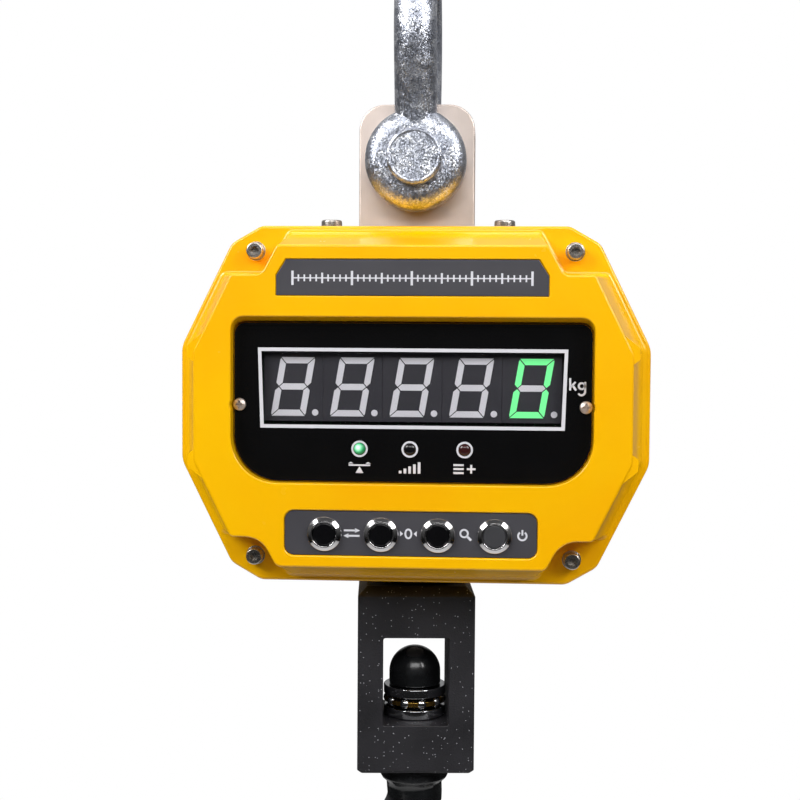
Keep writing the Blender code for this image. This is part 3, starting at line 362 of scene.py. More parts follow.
def powderMaterial():
    # coarse black powder coat: pebbled, with a scatter of tiny bright nibs where it has rubbed
    material, tree, shader, place = startMaterial("blackPowderCoat", base="#1D1C20", roughness=0.55, ior=1.5)
    pebble = add(tree, "ShaderNodeTexVoronoi", {"Vector": place, "Scale": 1000 / powder["pebbleMm"],
                                                "Smoothness": 0.6}, feature="SMOOTH_F1")
    fine = add(tree, "ShaderNodeTexNoise", {"Vector": place, "Scale": 1400.0, "Detail": 3.0})
    height = add(tree, "ShaderNodeMath", {0: pebble.outputs["Distance"], 1: fine.outputs["Fac"]}, operation="ADD")
    bump = add(tree, "ShaderNodeBump", {"Height": height.outputs["Value"], "Strength": 0.30, "Distance": 0.0005})
    tree.links.new(bump.outputs["Normal"], shader.inputs["Normal"])
    nibs = add(tree, "ShaderNodeTexVoronoi", {"Vector": place, "Scale": 1000 / powder["nibMm"]})
    keep = add(tree, "ShaderNodeSeparateColor", {"Color": nibs.outputs["Color"]})
    near = add(tree, "ShaderNodeMath", {0: nibs.outputs["Distance"], 1: 0.15}, operation="LESS_THAN")
    some = add(tree, "ShaderNodeMath", {0: keep.outputs["Red"], 1: 0.66}, operation="GREATER_THAN")
    spot = add(tree, "ShaderNodeMath", {0: near.outputs["Value"], 1: some.outputs["Value"]}, operation="MULTIPLY")
    cloud = add(tree, "ShaderNodeTexNoise", {"Vector": place, "Scale": 35.0, "Detail": 3.0})
    tone = add(tree, "ShaderNodeValToRGB", {"Fac": cloud.outputs["Fac"]},
               stops=[(0.3, linear(powder["deep"])), (0.75, linear(powder["worn"]))])
    colour = add(tree, "ShaderNodeMix", {0: spot.outputs["Value"], 6: tone.outputs["Color"], 7: linear("#B9B9C0")},
                 data_type="RGBA")
    tree.links.new(colour.outputs[2], shader.inputs["Base Color"])
    gloss = add(tree, "ShaderNodeMapRange", {"Value": cloud.outputs["Fac"], "To Min": 0.42, "To Max": 0.68})
    tree.links.new(gloss.outputs["Result"], shader.inputs["Roughness"])
    return material


def forgedMaterial():
    # black enamel over a drop forging: glossy, but it keeps the scale pits and soft dents under it
    material, tree, shader, place = startMaterial("blackEnamelForging", base="#151617", roughness=0.2, ior=1.5,
                                                  coat=0.4, coatRoughness=0.08)
    pits = add(tree, "ShaderNodeTexVoronoi", {"Vector": place, "Scale": 230.0, "Smoothness": 0.8},
               feature="SMOOTH_F1")
    dents = add(tree, "ShaderNodeTexNoise", {"Vector": place, "Scale": 70.0, "Detail": 5.0, "Roughness": 0.6})
    height = add(tree, "ShaderNodeMath", {0: pits.outputs["Distance"], 1: 0.35, 2: dents.outputs["Fac"]},
                 operation="MULTIPLY_ADD")
    bump = add(tree, "ShaderNodeBump", {"Height": height.outputs["Value"], "Strength": 0.35, "Distance": 0.0011})
    tree.links.new(bump.outputs["Normal"], shader.inputs["Normal"])
    tone = add(tree, "ShaderNodeValToRGB", {"Fac": dents.outputs["Fac"]},
               stops=[(0.3, linear("#0E0F10")), (0.8, linear("#26282A"))])
    tree.links.new(tone.outputs["Color"], shader.inputs["Base Color"])
    gloss = add(tree, "ShaderNodeMapRange", {"Value": dents.outputs["Fac"], "To Min": 0.12, "To Max": 0.36})
    tree.links.new(gloss.outputs["Result"], shader.inputs["Roughness"])
    return material


def lampMaterial(name):
    # clear green lens, lit, with a painted highlight: pale white-green up and to the left of centre, and painted
    # shade in bottle green at the far rim
    material, tree, shader, place = startMaterial(name, base="#1C6B40", roughness=0.1, glow=1.05)
    # centre of the painted highlight, a little up and to the left of the lamp's middle
    centre = at(display["lampX"][0] - 0.0007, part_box("lamp_1")[0].y, display["lampH"] + 0.0007)
    reach = add(tree, "ShaderNodeVectorMath", {0: place, 1: centre}, operation="DISTANCE")
    highlightFall = add(tree, "ShaderNodeMapRange", {"Value": reach.outputs["Value"], "From Max": 0.0040})
    speck = add(tree, "ShaderNodeTexNoise", {"Vector": place, "Scale": 1500.0})
    share = add(tree, "ShaderNodeMath", {0: speck.outputs["Fac"], 1: 0.12, 2: highlightFall.outputs["Result"]},
                operation="MULTIPLY_ADD")
    # ramp from the painted highlight near that centre to painted shade at the far rim
    tone = add(tree, "ShaderNodeValToRGB", {"Fac": share.outputs["Value"]},
               stops=[(0.22, linear("#EFFFF8")), (0.46, linear("#7FE0A8")), (0.72, linear("#1F7A48")),
                      (1.0, linear("#0B2A19"))])
    tree.links.new(tone.outputs["Color"], shader.inputs["Emission Color"])
    return material


def boardMaterial():
    # solder resist over copper: green with paler traces on a 2.54 mm grid
    material, tree, shader, place = startMaterial("greenSolderResist", base="#0B4A22", roughness=0.35)
    grid = add(tree, "ShaderNodeTexBrick", {"Vector": place, "Scale": 100.0, "Color1": linear("#0D5A2A"),
                                            "Color2": linear("#0A4420"), "Mortar": linear("#1C7A3E")})
    tree.links.new(grid.outputs["Color"], shader.inputs["Base Color"])
    speck = add(tree, "ShaderNodeTexNoise", {"Vector": place, "Scale": 900.0})
    gloss = add(tree, "ShaderNodeMapRange", {"Value": speck.outputs["Fac"], "To Min": 0.25, "To Max": 0.5})
    tree.links.new(gloss.outputs["Result"], shader.inputs["Roughness"])
    return material


display = {"panelY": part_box("display_panel")[0].y, "digitHeight": 0.0098, "pitch": 0.0304, "tall": 0.0301,
           "wide": 0.0178, "bar": 0.0032, "seam": 0.00050, "lean": math.tan(math.radians(9.7)),
           "lampX": [-0.0264, -0.0008, 0.0270], "lampH": -0.0215, "lampHole": 0.00325, "lampRadius": 0.0031,
           "inset": 0.0008, "panelEdge": 0.0003, "panelLevel": 0.0072, "panelThick": 0.003, "iconH": -0.0312,
           "frame": [(-0.0773, -0.0112), (0.0773, -0.0112), (0.0786, 0.0297), (-0.0786, 0.0297)],
           "frameLine": 0.0018, "ring": (0.0037, 0.0010), "unit": (0.0791, 0.0092), "clip": 0.0011,
           "dot": (0.0114, -0.0132, 0.00165)}
enamel = {"deep": "#FEB600", "bright": "#FFC200", "peelMm": 1.1, "castMm": 9.0}
zinc = {"crystalMm": 4.0, "flakeMm": 0.55, "tilt": 0.36, "dark": "#9DA1AC", "mid": "#BABECA", "pale": "#EDEFF4"}
powder = {"pebbleMm": 0.8, "nibMm": 1.6, "deep": "#17161A", "worn": "#242328"}

yellow = yellowEnamelMaterial()
galvanised = galvanisedMaterial()
nickel = grainedMetal("satinNickelPlate", "#EBDDD4", 0.52, (1.0, 1.0, 0.06), 0.5, 0.12)
stainless = grainedMetal("turnedStainless", "#DAD5CE", 0.30, (1.0, 0.15, 1.0), 0.4, 0.10)
chrome = grainedMetal("polishedChrome", "#EDEBEC", 0.12, (1.0, 1.0, 1.0), 1.5, 0.01, spread=0.05)
bearingSteel = grainedMetal("groundBearingSteel", "#CFD0D3", 0.14, (1.0, 1.0, 0.1), 0.4, 0.05)
brass = grainedMetal("turnedBrass", "#D6A850", 0.28, (1.0, 1.0, 0.2), 0.4, 0.08)
zincPlate = grainedMetal("zincPlatedSheet", "#C2C3BE", 0.34, (1.0, 0.2, 1.0), 0.6, 0.10)
blackAcrylic = mouldedMaterial("glossBlackAcrylic", "#0B0B0C", 0.07, 6.0, 0.01)  # flat sheet, a dark mirror
capBlack = mouldedMaterial("glossBlackCap", "#0C0C0E", 0.12, 2.0, 0.02)  # moulded, a little softer than the sheet
capGrey = mouldedMaterial("satinGreyCap", "#3F3F42", 0.35, 1.0, 0.05)  # rubbed satin, charcoal
moduleGrey = mouldedMaterial("matteGreyModule", "#34333A", 0.5, 0.6, 0.05, fade=0.9)  # filled epoxy, dull dark grey
lensGrey = mouldedMaterial("unlitSegment", "#E6E5EC", 0.35, 0.8, 0.03, fade=0.94)  # milky diffuser, cool light grey
lensLit = mouldedMaterial("litGreenSegment", "#6CE890", 0.4, 0.8, 0.02, fade=0.95, emission="#80FF9E", glow=0.55)
whiteInk = mouldedMaterial("screenedWhiteInk", "#DCDCE2", 0.45, 0.5, 0.03, fade=0.96)  # flat opaque ink
labelGrey = mouldedMaterial("texturedGreyLabel", "#454449", 0.42, 0.35, 0.12, fade=0.92)  # embossed film
rubber = mouldedMaterial("mouldedBlackRubber", "#1A1A1B", 0.7, 0.7, 0.2)  # dull, faintly dusty
batteryCase = mouldedMaterial("matteBlackCase", "#232326", 0.5, 0.6, 0.1)
smoke = mouldedMaterial("smokedPane", "#101014", 0.05, 6.0, 0.01, alpha=0.07)  # clear sheet, only just tinted
lampGreen = lampMaterial("litGreenLampPaintedHighlight")
lampDark = mouldedMaterial("clearDarkLamp", "#101013", 0.06, 2.0, 0.02)
lampRed = mouldedMaterial("dullRedLamp", "#3A1A1A", 0.08, 2.0, 0.02)
powderBlack = powderMaterial()
forged = forgedMaterial()
board = boardMaterial()
print("materials ready")


def quadrant(edges, taper, grow):
    # corners where neighbouring edges meet; an edge is (angle, distance, slide, radius of the corner after it)
    corners = []
    for (a, d, slide, radius), (b, e, nextSlide, _) in zip(edges, edges[1:]):
        a, b = math.radians(a), math.radians(b)
        d, e = d + taper * slide + grow, e + taper * nextSlide + grow
        turn = math.sin(b - a)
        x, z = (d * math.sin(b) - e * math.sin(a)) / turn, (e * math.cos(a) - d * math.cos(b)) / turn
        corners.append((x, z, max(radius + (grow if b > a else -grow), 0.0003)))
    return corners


def outline(upper, lower, taper, grow, steps=6):
    top, low = quadrant(upper, taper, grow), quadrant(lower, taper, grow)
    corners = top + [(-x, z, r) for x, z, r in reversed(top)]
    corners += [(-x, -z, r) for x, z, r in low] + [(x, -z, r) for x, z, r in reversed(low)]
    return arcPath(corners, steps)


case = {"flangeTop": [(0, 0.122, 1, 0.015), (26.2, 0.12277, 1, 0.009), (60, 0.1203, 1, 0.008), (90, 0.0928, 1, 0)],
        "flangeLow": [(0, 0.122, 1, 0.015), (26.2, 0.12277, 1, 0.009), (60, 0.1203, 1, 0.009), (90, 0.0928, 1, 0)],
        "bossTop": [(0, 0.1105, 1, 0.006), (26.2, 0.11127, 1, 0.0022), (90, 0.0665, 0.1, 0.005),
                    (28.4, 0.0985, 0.1, 0.0025), (90, 0.0813, 1, 0)],
        "bossLow": [(0, 0.1105, 1, 0.006), (26.2, 0.11127, 1, 0.0028), (90, 0.0665, 0.1, 0.0135),
                    (28.4, 0.0985, 0.1, 0.004), (90, 0.0813, 1, 0)],
        "flangeY": coverHigh.y - 0.009, "taper": 0.0077, "rim": 0.0015, "edge": 0.0009,
        "foot": 0.0022, "wall": 0.004, "cavityFrom": 0.0143,
        "rib": [(0.0985, 0.0385, 0), (0.1040, 0.0385, 0.004), (0.1134, 0.0308, 0.0016), (0.1138, 0.0250, 0.0012),
                (0.1098, 0.0218, 0.002), (0.0985, 0.0218, 0)]}


def flangeRing(y, grow):
    return [at(p.x, y, p.y) for p in outline(case["flangeTop"], case["flangeLow"], 0, grow)]


def bossRing(y, grow, squeeze=0.0):
    depth = (y - faceY) / (case["flangeY"] - faceY)
    taper = case["taper"] * max(0.0, min(1.0, depth)) - squeeze
    return [at(p.x, y, p.y) for p in outline(case["bossTop"], case["bossLow"], taper, grow)]


def recessCutter(ringAt, depth, lip, foot=0.0):
    # cutter with its mouth flared by lip, so that the edge it leaves is round; ringAt(grow, share of depth)
    rings = [ringAt(lip, -0.001)]
    rings += [ringAt(back, inward) for back, inward in rounding(lip)]
    if foot:
        rings += [ringAt(-inward, depth - back) for back, inward in rounding(foot, 4)]
    else:
        rings.append(ringAt(0, depth))
    return loft(rings)


window = {"low": -0.03885, "top": 0.0455, "half": 0.0914, "slope": 0.36, "slopeDepth": 0.008, "lowRound": 0.0235,
          "topRound": 0.0065, "depth": 0.0103, "lip": 0.0006, "behind": (0.083, -0.031, 0.0368, 0.005),
          "notchX": 0.0878, "notchH": 0.0006, "notch": 0.0042}
label = {"half": 0.0685, "low": 0.05585, "top": 0.07435, "round": 0.0006, "slant": (0.0050, 0.0080),
          "depth": 0.0012, "lip": 0.0005}
plate = {"half": 0.0640, "low": -0.0754, "top": -0.0524, "round": 0.005, "depth": 0.0020, "lip": 0.0008,
         "hole": 0.0083}


def windowRing(grow, depth):
    half, low = window["half"] + grow, window["low"] - grow
    top = window["top"] - window["slope"] * max(0.0, min(depth, window["slopeDepth"])) + grow
    lowRound, topRound = window["lowRound"] + grow, window["topRound"] + grow
    corners = [(half, low, lowRound), (half, top, topRound), (-half, top, topRound), (-half, low, lowRound)]
    return [at(p.x, faceY + depth, p.y) for p in arcPath(corners, 10)]


def stripCorners(grow):
    w, low, top = label["half"] + grow, label["low"] - grow, label["top"] + grow
    r = max(label["round"] + grow, 0.0002)
    across, down = label["slant"]
    return arcPath([(w, low, r), (w, top - down, r), (w - across, top, r), (-w + across, top, r),
                    (-w, top - down, r), (-w, low, r)], 3)


def plateCorners(grow):
    w, low, top, r = plate["half"] + grow, plate["low"] - grow, plate["top"] + grow, plate["round"] + grow
    return arcPath([(w, low, r), (w, top, r), (-w, top, r), (-w, low, r)], 8)


def makeFrontCover():
    flangeTop, part, edge, foot = case["flangeY"], coverHigh.y, case["edge"], case["foot"]
    rings = [flangeRing(part, -0.0004), flangeRing(part - 0.0004, 0)]
    rim = case["rim"]
    rings += [flangeRing(flangeTop + back, -inward) for back, inward in rounding(rim)]
    body = loft(rings)
    boss = [bossRing(flangeTop + 0.003, foot)]
    boss += [bossRing(flangeTop - inward, back) for back, inward in rounding(foot)]
    boss += [bossRing(faceY + back, -inward) for back, inward in rounding(edge)]
    ribs = []
    for side in (-1, 1):
        for up in (-1, 1):
            path = [(side * p.x, up * p.y) for p in arcPath(case["rib"], 4)]
            ribs.append(slab(path, faceY + 0.0006, flangeTop + 0.003))
    body = join(body, loft(boss), *ribs)
    cavity = loft([bossRing(y, -case["wall"]) for y in (part + 0.001, flangeTop, faceY + case["cavityFrom"])])
    windowCut = recessCutter(windowRing, window["depth"], window["lip"])
    half, low, top, r = window["behind"]
    behind = [(half, low, r), (half, top, r), (-half, top, r), (-half, low, r)]
    opening = slab(arcPath(behind, 3), faceY, faceY + 0.02)
    recesses = [recessCutter(lambda grow, d: [at(p.x, faceY + d, p.y) for p in corners(grow)], sizes["depth"],
                             sizes["lip"]) for corners, sizes in ((stripCorners, label), (plateCorners, plate))]
    notches, r, end = [], window["notch"], window["depth"] - 0.0001
    for x in (-window["notchX"], window["notchX"]):
        profile = [(0, -0.001, 0), (r + 0.0005, -0.001, 0), (r + 0.0005, 0, 0), (r, 0.0006, 0), (r, end, 0),
                   (0, end, 0)]
        notches.append(lathe(profile, 40, at(x, faceY, window["notchH"])))
    keyHoles = [bar(plate["hole"], 0, 0.03, 40, at(x, faceY, keys["height"])) for x in keys["across"]]
    body = cut(body, cavity)
    body = cut(body, windowCut)
    body = cut(body, opening, *recesses, *notches)
    body = cut(body, *keyHoles)
    return piece("frontCover", body, yellow, "scale", ["front_cover"], "yellow_enamel")


keys = {"across": [-0.0435, -0.0148, 0.0140, 0.0425], "height": -0.0643, "bezel": 0.0090, "barrel": 0.0080,
        "iconOffset": 0.0139, "iconSize": 1.18, "mouth": 0.0061, "cap": 0.0059, "well": 0.0102}
makeFrontCover()
print("front cover ready")


rear = {"flange": 0.009, "step": 0.0038, "lean": 0.0082, "flangeRim": 0.003, "foot": 0.0022, "rim": 0.0055,
        "wall": 0.004, "land": 0.0926, "landLow": 0.070, "topLand": (0.058, 0.026), "lowLand": (0.036, 0.028),
        "seat": (0.0356, 0.0196), "studHole": 0.019, "doorDepth": 0.0018, "doorLip": 0.0007, "socketHole": 0.0083}


def makeRearCover():
    edgeY, flangeY, backY = rearLow.y, rearLow.y + rear["flange"], rearHigh.y

    def wall(y, grow):
        depth = (y - flangeY) / (backY - flangeY)
        return flangeRing(y, -rear["step"] - rear["lean"] * depth + grow)

    rings = [flangeRing(edgeY, -0.0004), flangeRing(edgeY + 0.0004, 0)]
    turned, foot, rim = rear["flangeRim"], rear["foot"], rear["rim"]
    rings += [flangeRing(flangeY - back, -inward) for back, inward in rounding(turned)]
    body = loft(rings)
    tub = [wall(flangeY - turned, foot)]
    tub += [wall(flangeY + inward, back) for back, inward in rounding(foot)]
    tub += [wall(backY - back, -inward) for back, inward in rounding(rim, 7)]
    lands = []
    for (half, back), low, high in ((rear["topLand"], rear["landLow"], rear["land"]),
                                    (rear["lowLand"], -rear["land"], -rear["landLow"])):
        lands.append(softBlock(-half, half, edgeY + turned, back, caseZ + low, caseZ + high, 0.005, 0.0008))
    body = join(body, loft(tub), *lands)
    cavity = loft([wall(edgeY - 0.001, -rear["wall"]), wall(backY - rear["wall"], -rear["wall"])])
    w, d = rear["seat"]
    seat = block(-w, w, -d, d, 0.06, 0.1)
    hole = bar(rear["studHole"], -0.11, -0.06, 48, at(0, 0, 0), "Z")
    doorSeat = recessCutter(lambda grow, d: [at(p.x, backY - d, p.y) for p in doorCorners(grow)],
                            rear["doorDepth"], rear["doorLip"])
    socket = bar(rear["socketHole"], -0.01, 0.002, 36, at(door["socket"][0], backY, door["socket"][1]))
    body = cut(body, cavity)
    body = cut(body, seat, hole, doorSeat, socket)
    return piece("rearCover", body, yellow, "scale", ["rear_cover"], "yellow_enamel")


door = {"half": (0.0515, 0.062), "round": 0.006, "edge": 0.0012, "seam": 0.0004, "screwX": (-0.0455, 0.0455),
        "screw": (0.0018, 0.0036, 0.0023, 0.0062), "slot": (0.003, 0.0004), "socket": (0.078, -0.038), "grips": 7,
        "grip": (0.018, 0.0008, 0.0007, -0.045, 0.004), "capRibs": {"Count": 30, "Radius": 0.0100, "Length": 0.0044,
                                                                    "Width": 0.0009}}


def doorCorners(grow):
    w, h, r = door["half"][0] + grow, door["half"][1] + grow, door["round"] + grow
    return arcPath([(w, -h, r), (w, h, r), (-w, h, r), (-w, -h, r)], 6)


def makeRearDetails():
    backY = rearHigh.y
    face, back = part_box("battery_door")[0].y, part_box("battery_door")[1].y

    def ring(y, grow):
        return [at(p.x, y, p.y) for p in doorCorners(grow - door["seam"])]

    lid = loft([ring(face, 0)] + [ring(back - drop, -inward) for drop, inward in rounding(door["edge"])])
    grooves, (half, wide, deep, first, pitch) = [], door["grip"]
    for k in range(door["grips"]):
        low, high = first + pitch * k - wide, first + pitch * k + wide
        ends = [(half, low, deep), (half, high, deep), (-half, high, deep), (-half, low, deep)]
        grooves.append(slab(arcPath(ends, 3), back - deep, back + 0.001))
    piece("batteryDoor", cut(lid, *grooves), yellow, "scale", ["battery_door"], "yellow_enamel")
    heads = []
    for x in door["screwX"]:
        (shaft, r, tall, end), (half, width) = door["screw"], door["slot"]
        profile = [(0, -end, 0), (shaft, -end, 0), (shaft, gap, 0), (r, gap, 0.0002), (r, 0.0011, 0.0008),
                   (shaft, tall, 0.0012), (0, tall, 0)]
        head = lathe(profile, 32, at(x, back, 0))
        slot = block(x - half, x + half, back + 0.0013, back + 0.004, -width, width)
        heads.append(cut(head, slot))
    piece("doorScrews", merged(*heads), stainless, "scale", ["door_screw_left", "door_screw_right"],
          "stainless_steel")
    x, h = door["socket"]
    shell = [(0.0045, -0.012, 0), (0.0080, -0.012, 0.0003), (0.0080, gap, 0), (0.0110, gap, 0.0004),
             (0.0110, 0.0018, 0.0005), (0.0085, 0.0022, 0), (0.0085, 0.0060, 0.0004), (0.0045, 0.0060, 0.0004)]
    piece("chargerSocket", lathe(shell, 40, at(x, backY, h)), chrome, "scale", ["charger_socket"], "chrome_plate")
    cap = [(0, 0.0063, 0), (0.0088, 0.0063, 0.0002), (0.0088, 0.0025, 0.0002), (0.0102, 0.0025, 0.0004),
           (0.0102, 0.0085, 0.0014), (0, 0.0085, 0)]
    core = lathe(cap, 60, at(x, backY, h))
    ribShape = bmesh.new()
    ribShape.from_mesh(growTree("capRibs", ribTree(), door["capRibs"]))
    moved(ribShape, at(x, backY + 0.0051, h))
    piece("chargerCap", merged(core, ribShape), rubber, "scale", ["charger_cap"], "black_rubber")


def newTree(name, inputs):
    tree = bpy.data.node_groups.new(name, "GeometryNodeTree")
    for title, kind, value in inputs:
        socket = tree.interface.new_socket(title, in_out="INPUT", socket_type=kind)
        if value is not None:
            socket.default_value = value
    tree.interface.new_socket("Geometry", in_out="OUTPUT", socket_type="NodeSocketGeometry")
    return tree, add(tree, "NodeGroupInput")


def closeTree(tree, geometry, material):
    real = add(tree, "GeometryNodeRealizeInstances", {"Geometry": geometry})
    smooth = add(tree, "GeometryNodeSetShadeSmooth", {"Geometry": real.outputs["Geometry"]})
    painted = add(tree, "GeometryNodeSetMaterial", {"Geometry": smooth.outputs["Geometry"], "Material": material})
    add(tree, "NodeGroupOutput", {"Geometry": painted.outputs["Geometry"]})
    return tree


def growTree(name, tree, values):
    # runs a geometry tree and keeps its plain mesh
    holder = bpy.data.objects.new(name, bpy.data.meshes.new(name))
    bpy.context.scene.collection.objects.link(holder)
    step = holder.modifiers.new("nodes", "NODES")
    step.node_group = tree
    for item in tree.interface.items_tree:
        if item.in_out == "INPUT" and item.name in values:
            step[item.identifier] = values[item.name]
    mesh = bpy.data.meshes.new_from_object(holder.evaluated_get(bpy.context.evaluated_depsgraph_get()))
    bpy.data.objects.remove(holder)
    return mesh


def ribTree():
    # small ribs round a cap, each lying along Y
    tree, given = newTree("capRibs", [("Count", "NodeSocketInt", 30), ("Radius", "NodeSocketFloat", 0.01),
                                      ("Length", "NodeSocketFloat", 0.004), ("Width", "NodeSocketFloat", 0.001)])
    ring = add(tree, "GeometryNodeMeshCircle", {"Vertices": given.outputs["Count"],
                                                "Radius": given.outputs["Radius"]})
    upright = add(tree, "GeometryNodeTransform", {"Geometry": ring.outputs["Mesh"],
                                                  "Rotation": (math.pi / 2, 0, 0)})
    rib = add(tree, "GeometryNodeMeshCylinder", {"Vertices": 8, "Radius": given.outputs["Width"],
                                                 "Depth": given.outputs["Length"]})
    lying = add(tree, "GeometryNodeTransform", {"Geometry": rib.outputs["Mesh"], "Rotation": (math.pi / 2, 0, 0)})
    spread = add(tree, "GeometryNodeInstanceOnPoints", {"Points": upright.outputs["Geometry"],
                                                        "Instance": lying.outputs["Geometry"]})
    return closeTree(tree, spread.outputs["Instances"], rubber)


def tickTree():
    # a row of ruler marks along X: every fifth longer, every tenth longest
    tree, given = newTree("rulerMarks", [("Count", "NodeSocketInt", 41), ("Step", "NodeSocketFloat", 0.003),
                                         ("Width", "NodeSocketFloat", 0.0008), ("Height", "NodeSocketFloat", 0.004),
                                         ("Thick", "NodeSocketFloat", 0.00008)])
    step = add(tree, "ShaderNodeCombineXYZ", {"X": given.outputs["Step"]})
    row = add(tree, "GeometryNodeMeshLine", {"Count": given.outputs["Count"], "Offset": step.outputs["Vector"]})
    size = add(tree, "ShaderNodeCombineXYZ", {"X": given.outputs["Width"], "Y": given.outputs["Thick"],
                                              "Z": given.outputs["Height"]})
    mark = add(tree, "GeometryNodeMeshCube", {"Size": size.outputs["Vector"]})
    index = add(tree, "GeometryNodeInputIndex")
    longest = []
    for every in (5, 10):
        rest = add(tree, "ShaderNodeMath", {0: index.outputs["Index"], 1: float(every)}, operation="MODULO")
        hit = add(tree, "ShaderNodeMath", {0: rest.outputs["Value"], 1: 0.5}, operation="LESS_THAN")
        longest.append(hit.outputs["Value"])
    total = add(tree, "ShaderNodeMath", {0: longest[0], 1: longest[1]}, operation="ADD")
    tall = add(tree, "ShaderNodeMath", {0: total.outputs["Value"], 1: 0.55, 2: 1.0}, operation="MULTIPLY_ADD")
    wide = add(tree, "ShaderNodeMath", {0: total.outputs["Value"], 1: 0.25, 2: 1.0}, operation="MULTIPLY_ADD")
    scale = add(tree, "ShaderNodeCombineXYZ", {"X": wide.outputs["Value"], "Y": 1.0, "Z": tall.outputs["Value"]})
    spread = add(tree, "GeometryNodeInstanceOnPoints", {"Points": row.outputs["Mesh"],
                                                        "Instance": mark.outputs["Mesh"],
                                                        "Scale": scale.outputs["Vector"]})
    return closeTree(tree, spread.outputs["Instances"], whiteInk)


def copyTree(material):
    # copies of one object, in a row along X
    tree, given = newTree("rowOfCopies", [("Source", "NodeSocketObject", None), ("Count", "NodeSocketInt", 4),
                                          ("Step", "NodeSocketFloat", 0.03)])
    source = add(tree, "GeometryNodeObjectInfo", {"Object": given.outputs["Source"]})
    step = add(tree, "ShaderNodeCombineXYZ", {"X": given.outputs["Step"]})
    row = add(tree, "GeometryNodeMeshLine", {"Count": given.outputs["Count"], "Offset": step.outputs["Vector"]})
    spread = add(tree, "GeometryNodeInstanceOnPoints", {"Points": row.outputs["Mesh"],
                                                        "Instance": source.outputs["Geometry"]})
    return closeTree(tree, spread.outputs["Instances"], material)


def cornerTree(material):
    # copies of one object at the four corners of an upright rectangle
    tree, given = newTree("cornerCopies", [("Source", "NodeSocketObject", None), ("Width", "NodeSocketFloat", 0.1),
                                           ("Height", "NodeSocketFloat", 0.1)])
    source = add(tree, "GeometryNodeObjectInfo", {"Object": given.outputs["Source"]})
    sheet = add(tree, "GeometryNodeMeshGrid", {"Size X": given.outputs["Width"], "Size Y": given.outputs["Height"],
                                               "Vertices X": 2, "Vertices Y": 2})
    upright = add(tree, "GeometryNodeTransform", {"Geometry": sheet.outputs["Mesh"],
                                                  "Rotation": (math.pi / 2, 0, 0)})
    spread = add(tree, "GeometryNodeInstanceOnPoints", {"Points": upright.outputs["Geometry"],
                                                        "Instance": source.outputs["Geometry"]})
    return closeTree(tree, spread.outputs["Instances"], material)


def ballTree():
    # bearing balls round Z
    tree, given = newTree("bearingBalls", [("Count", "NodeSocketInt", 10), ("Pitch", "NodeSocketFloat", 0.0143),
                                           ("Radius", "NodeSocketFloat", 0.0029)])
    ring = add(tree, "GeometryNodeMeshCircle", {"Vertices": given.outputs["Count"], "Radius": given.outputs["Pitch"]})
    ball = add(tree, "GeometryNodeMeshUVSphere", {"Segments": 20, "Rings": 12, "Radius": given.outputs["Radius"]})
    spread = add(tree, "GeometryNodeInstanceOnPoints", {"Points": ring.outputs["Mesh"],
                                                        "Instance": ball.outputs["Mesh"]})
    return closeTree(tree, spread.outputs["Instances"], bearingSteel)


def copies(name, shape, tree, values):
    source = tool("source", shape)
    mesh = growTree(name, tree, {**values, "Source": source})
    bpy.data.objects.remove(source)
    return mesh


makeRearCover()
makeRearDetails()
print("rear cover ready")


def inkShape(polygons, y, thick=0.00006):
    return merged(*[slab(points, y - thick, y) for points in polygons])


def strip(points, width):
    # outline of a line of that width through the points
    left, right = [], []
    for i, point in enumerate(points):
        ahead = (Vector(points[min(i + 1, len(points) - 1)]) - Vector(points[max(i - 1, 0)])).normalized()
        across = Vector((-ahead.y, ahead.x)) * width / 2
        left.append(Vector(point) + across)
        right.append(Vector(point) - across)
    return [tuple(p) for p in left + right[::-1]]


def arc(x, z, radius, start, end, steps=28):
    angles = [math.radians(start + (end - start) * k / steps) for k in range(steps + 1)]
    return [(x + radius * math.cos(t), z + radius * math.sin(t)) for t in angles]


def ringInk(x, z, radius, width):
    return [strip(arc(x, z, radius, 90 * k, 90 * k + 90, 14), width) for k in range(4)]


def placed(polygons, x, z, size=1.0):
    return [[(x + a * size, z + b * size) for a, b in points] for points in polygons]


def disc(x, z, radius, steps=36):
    return arc(x, z, radius, 0, 360 - 360 / steps, steps - 1)


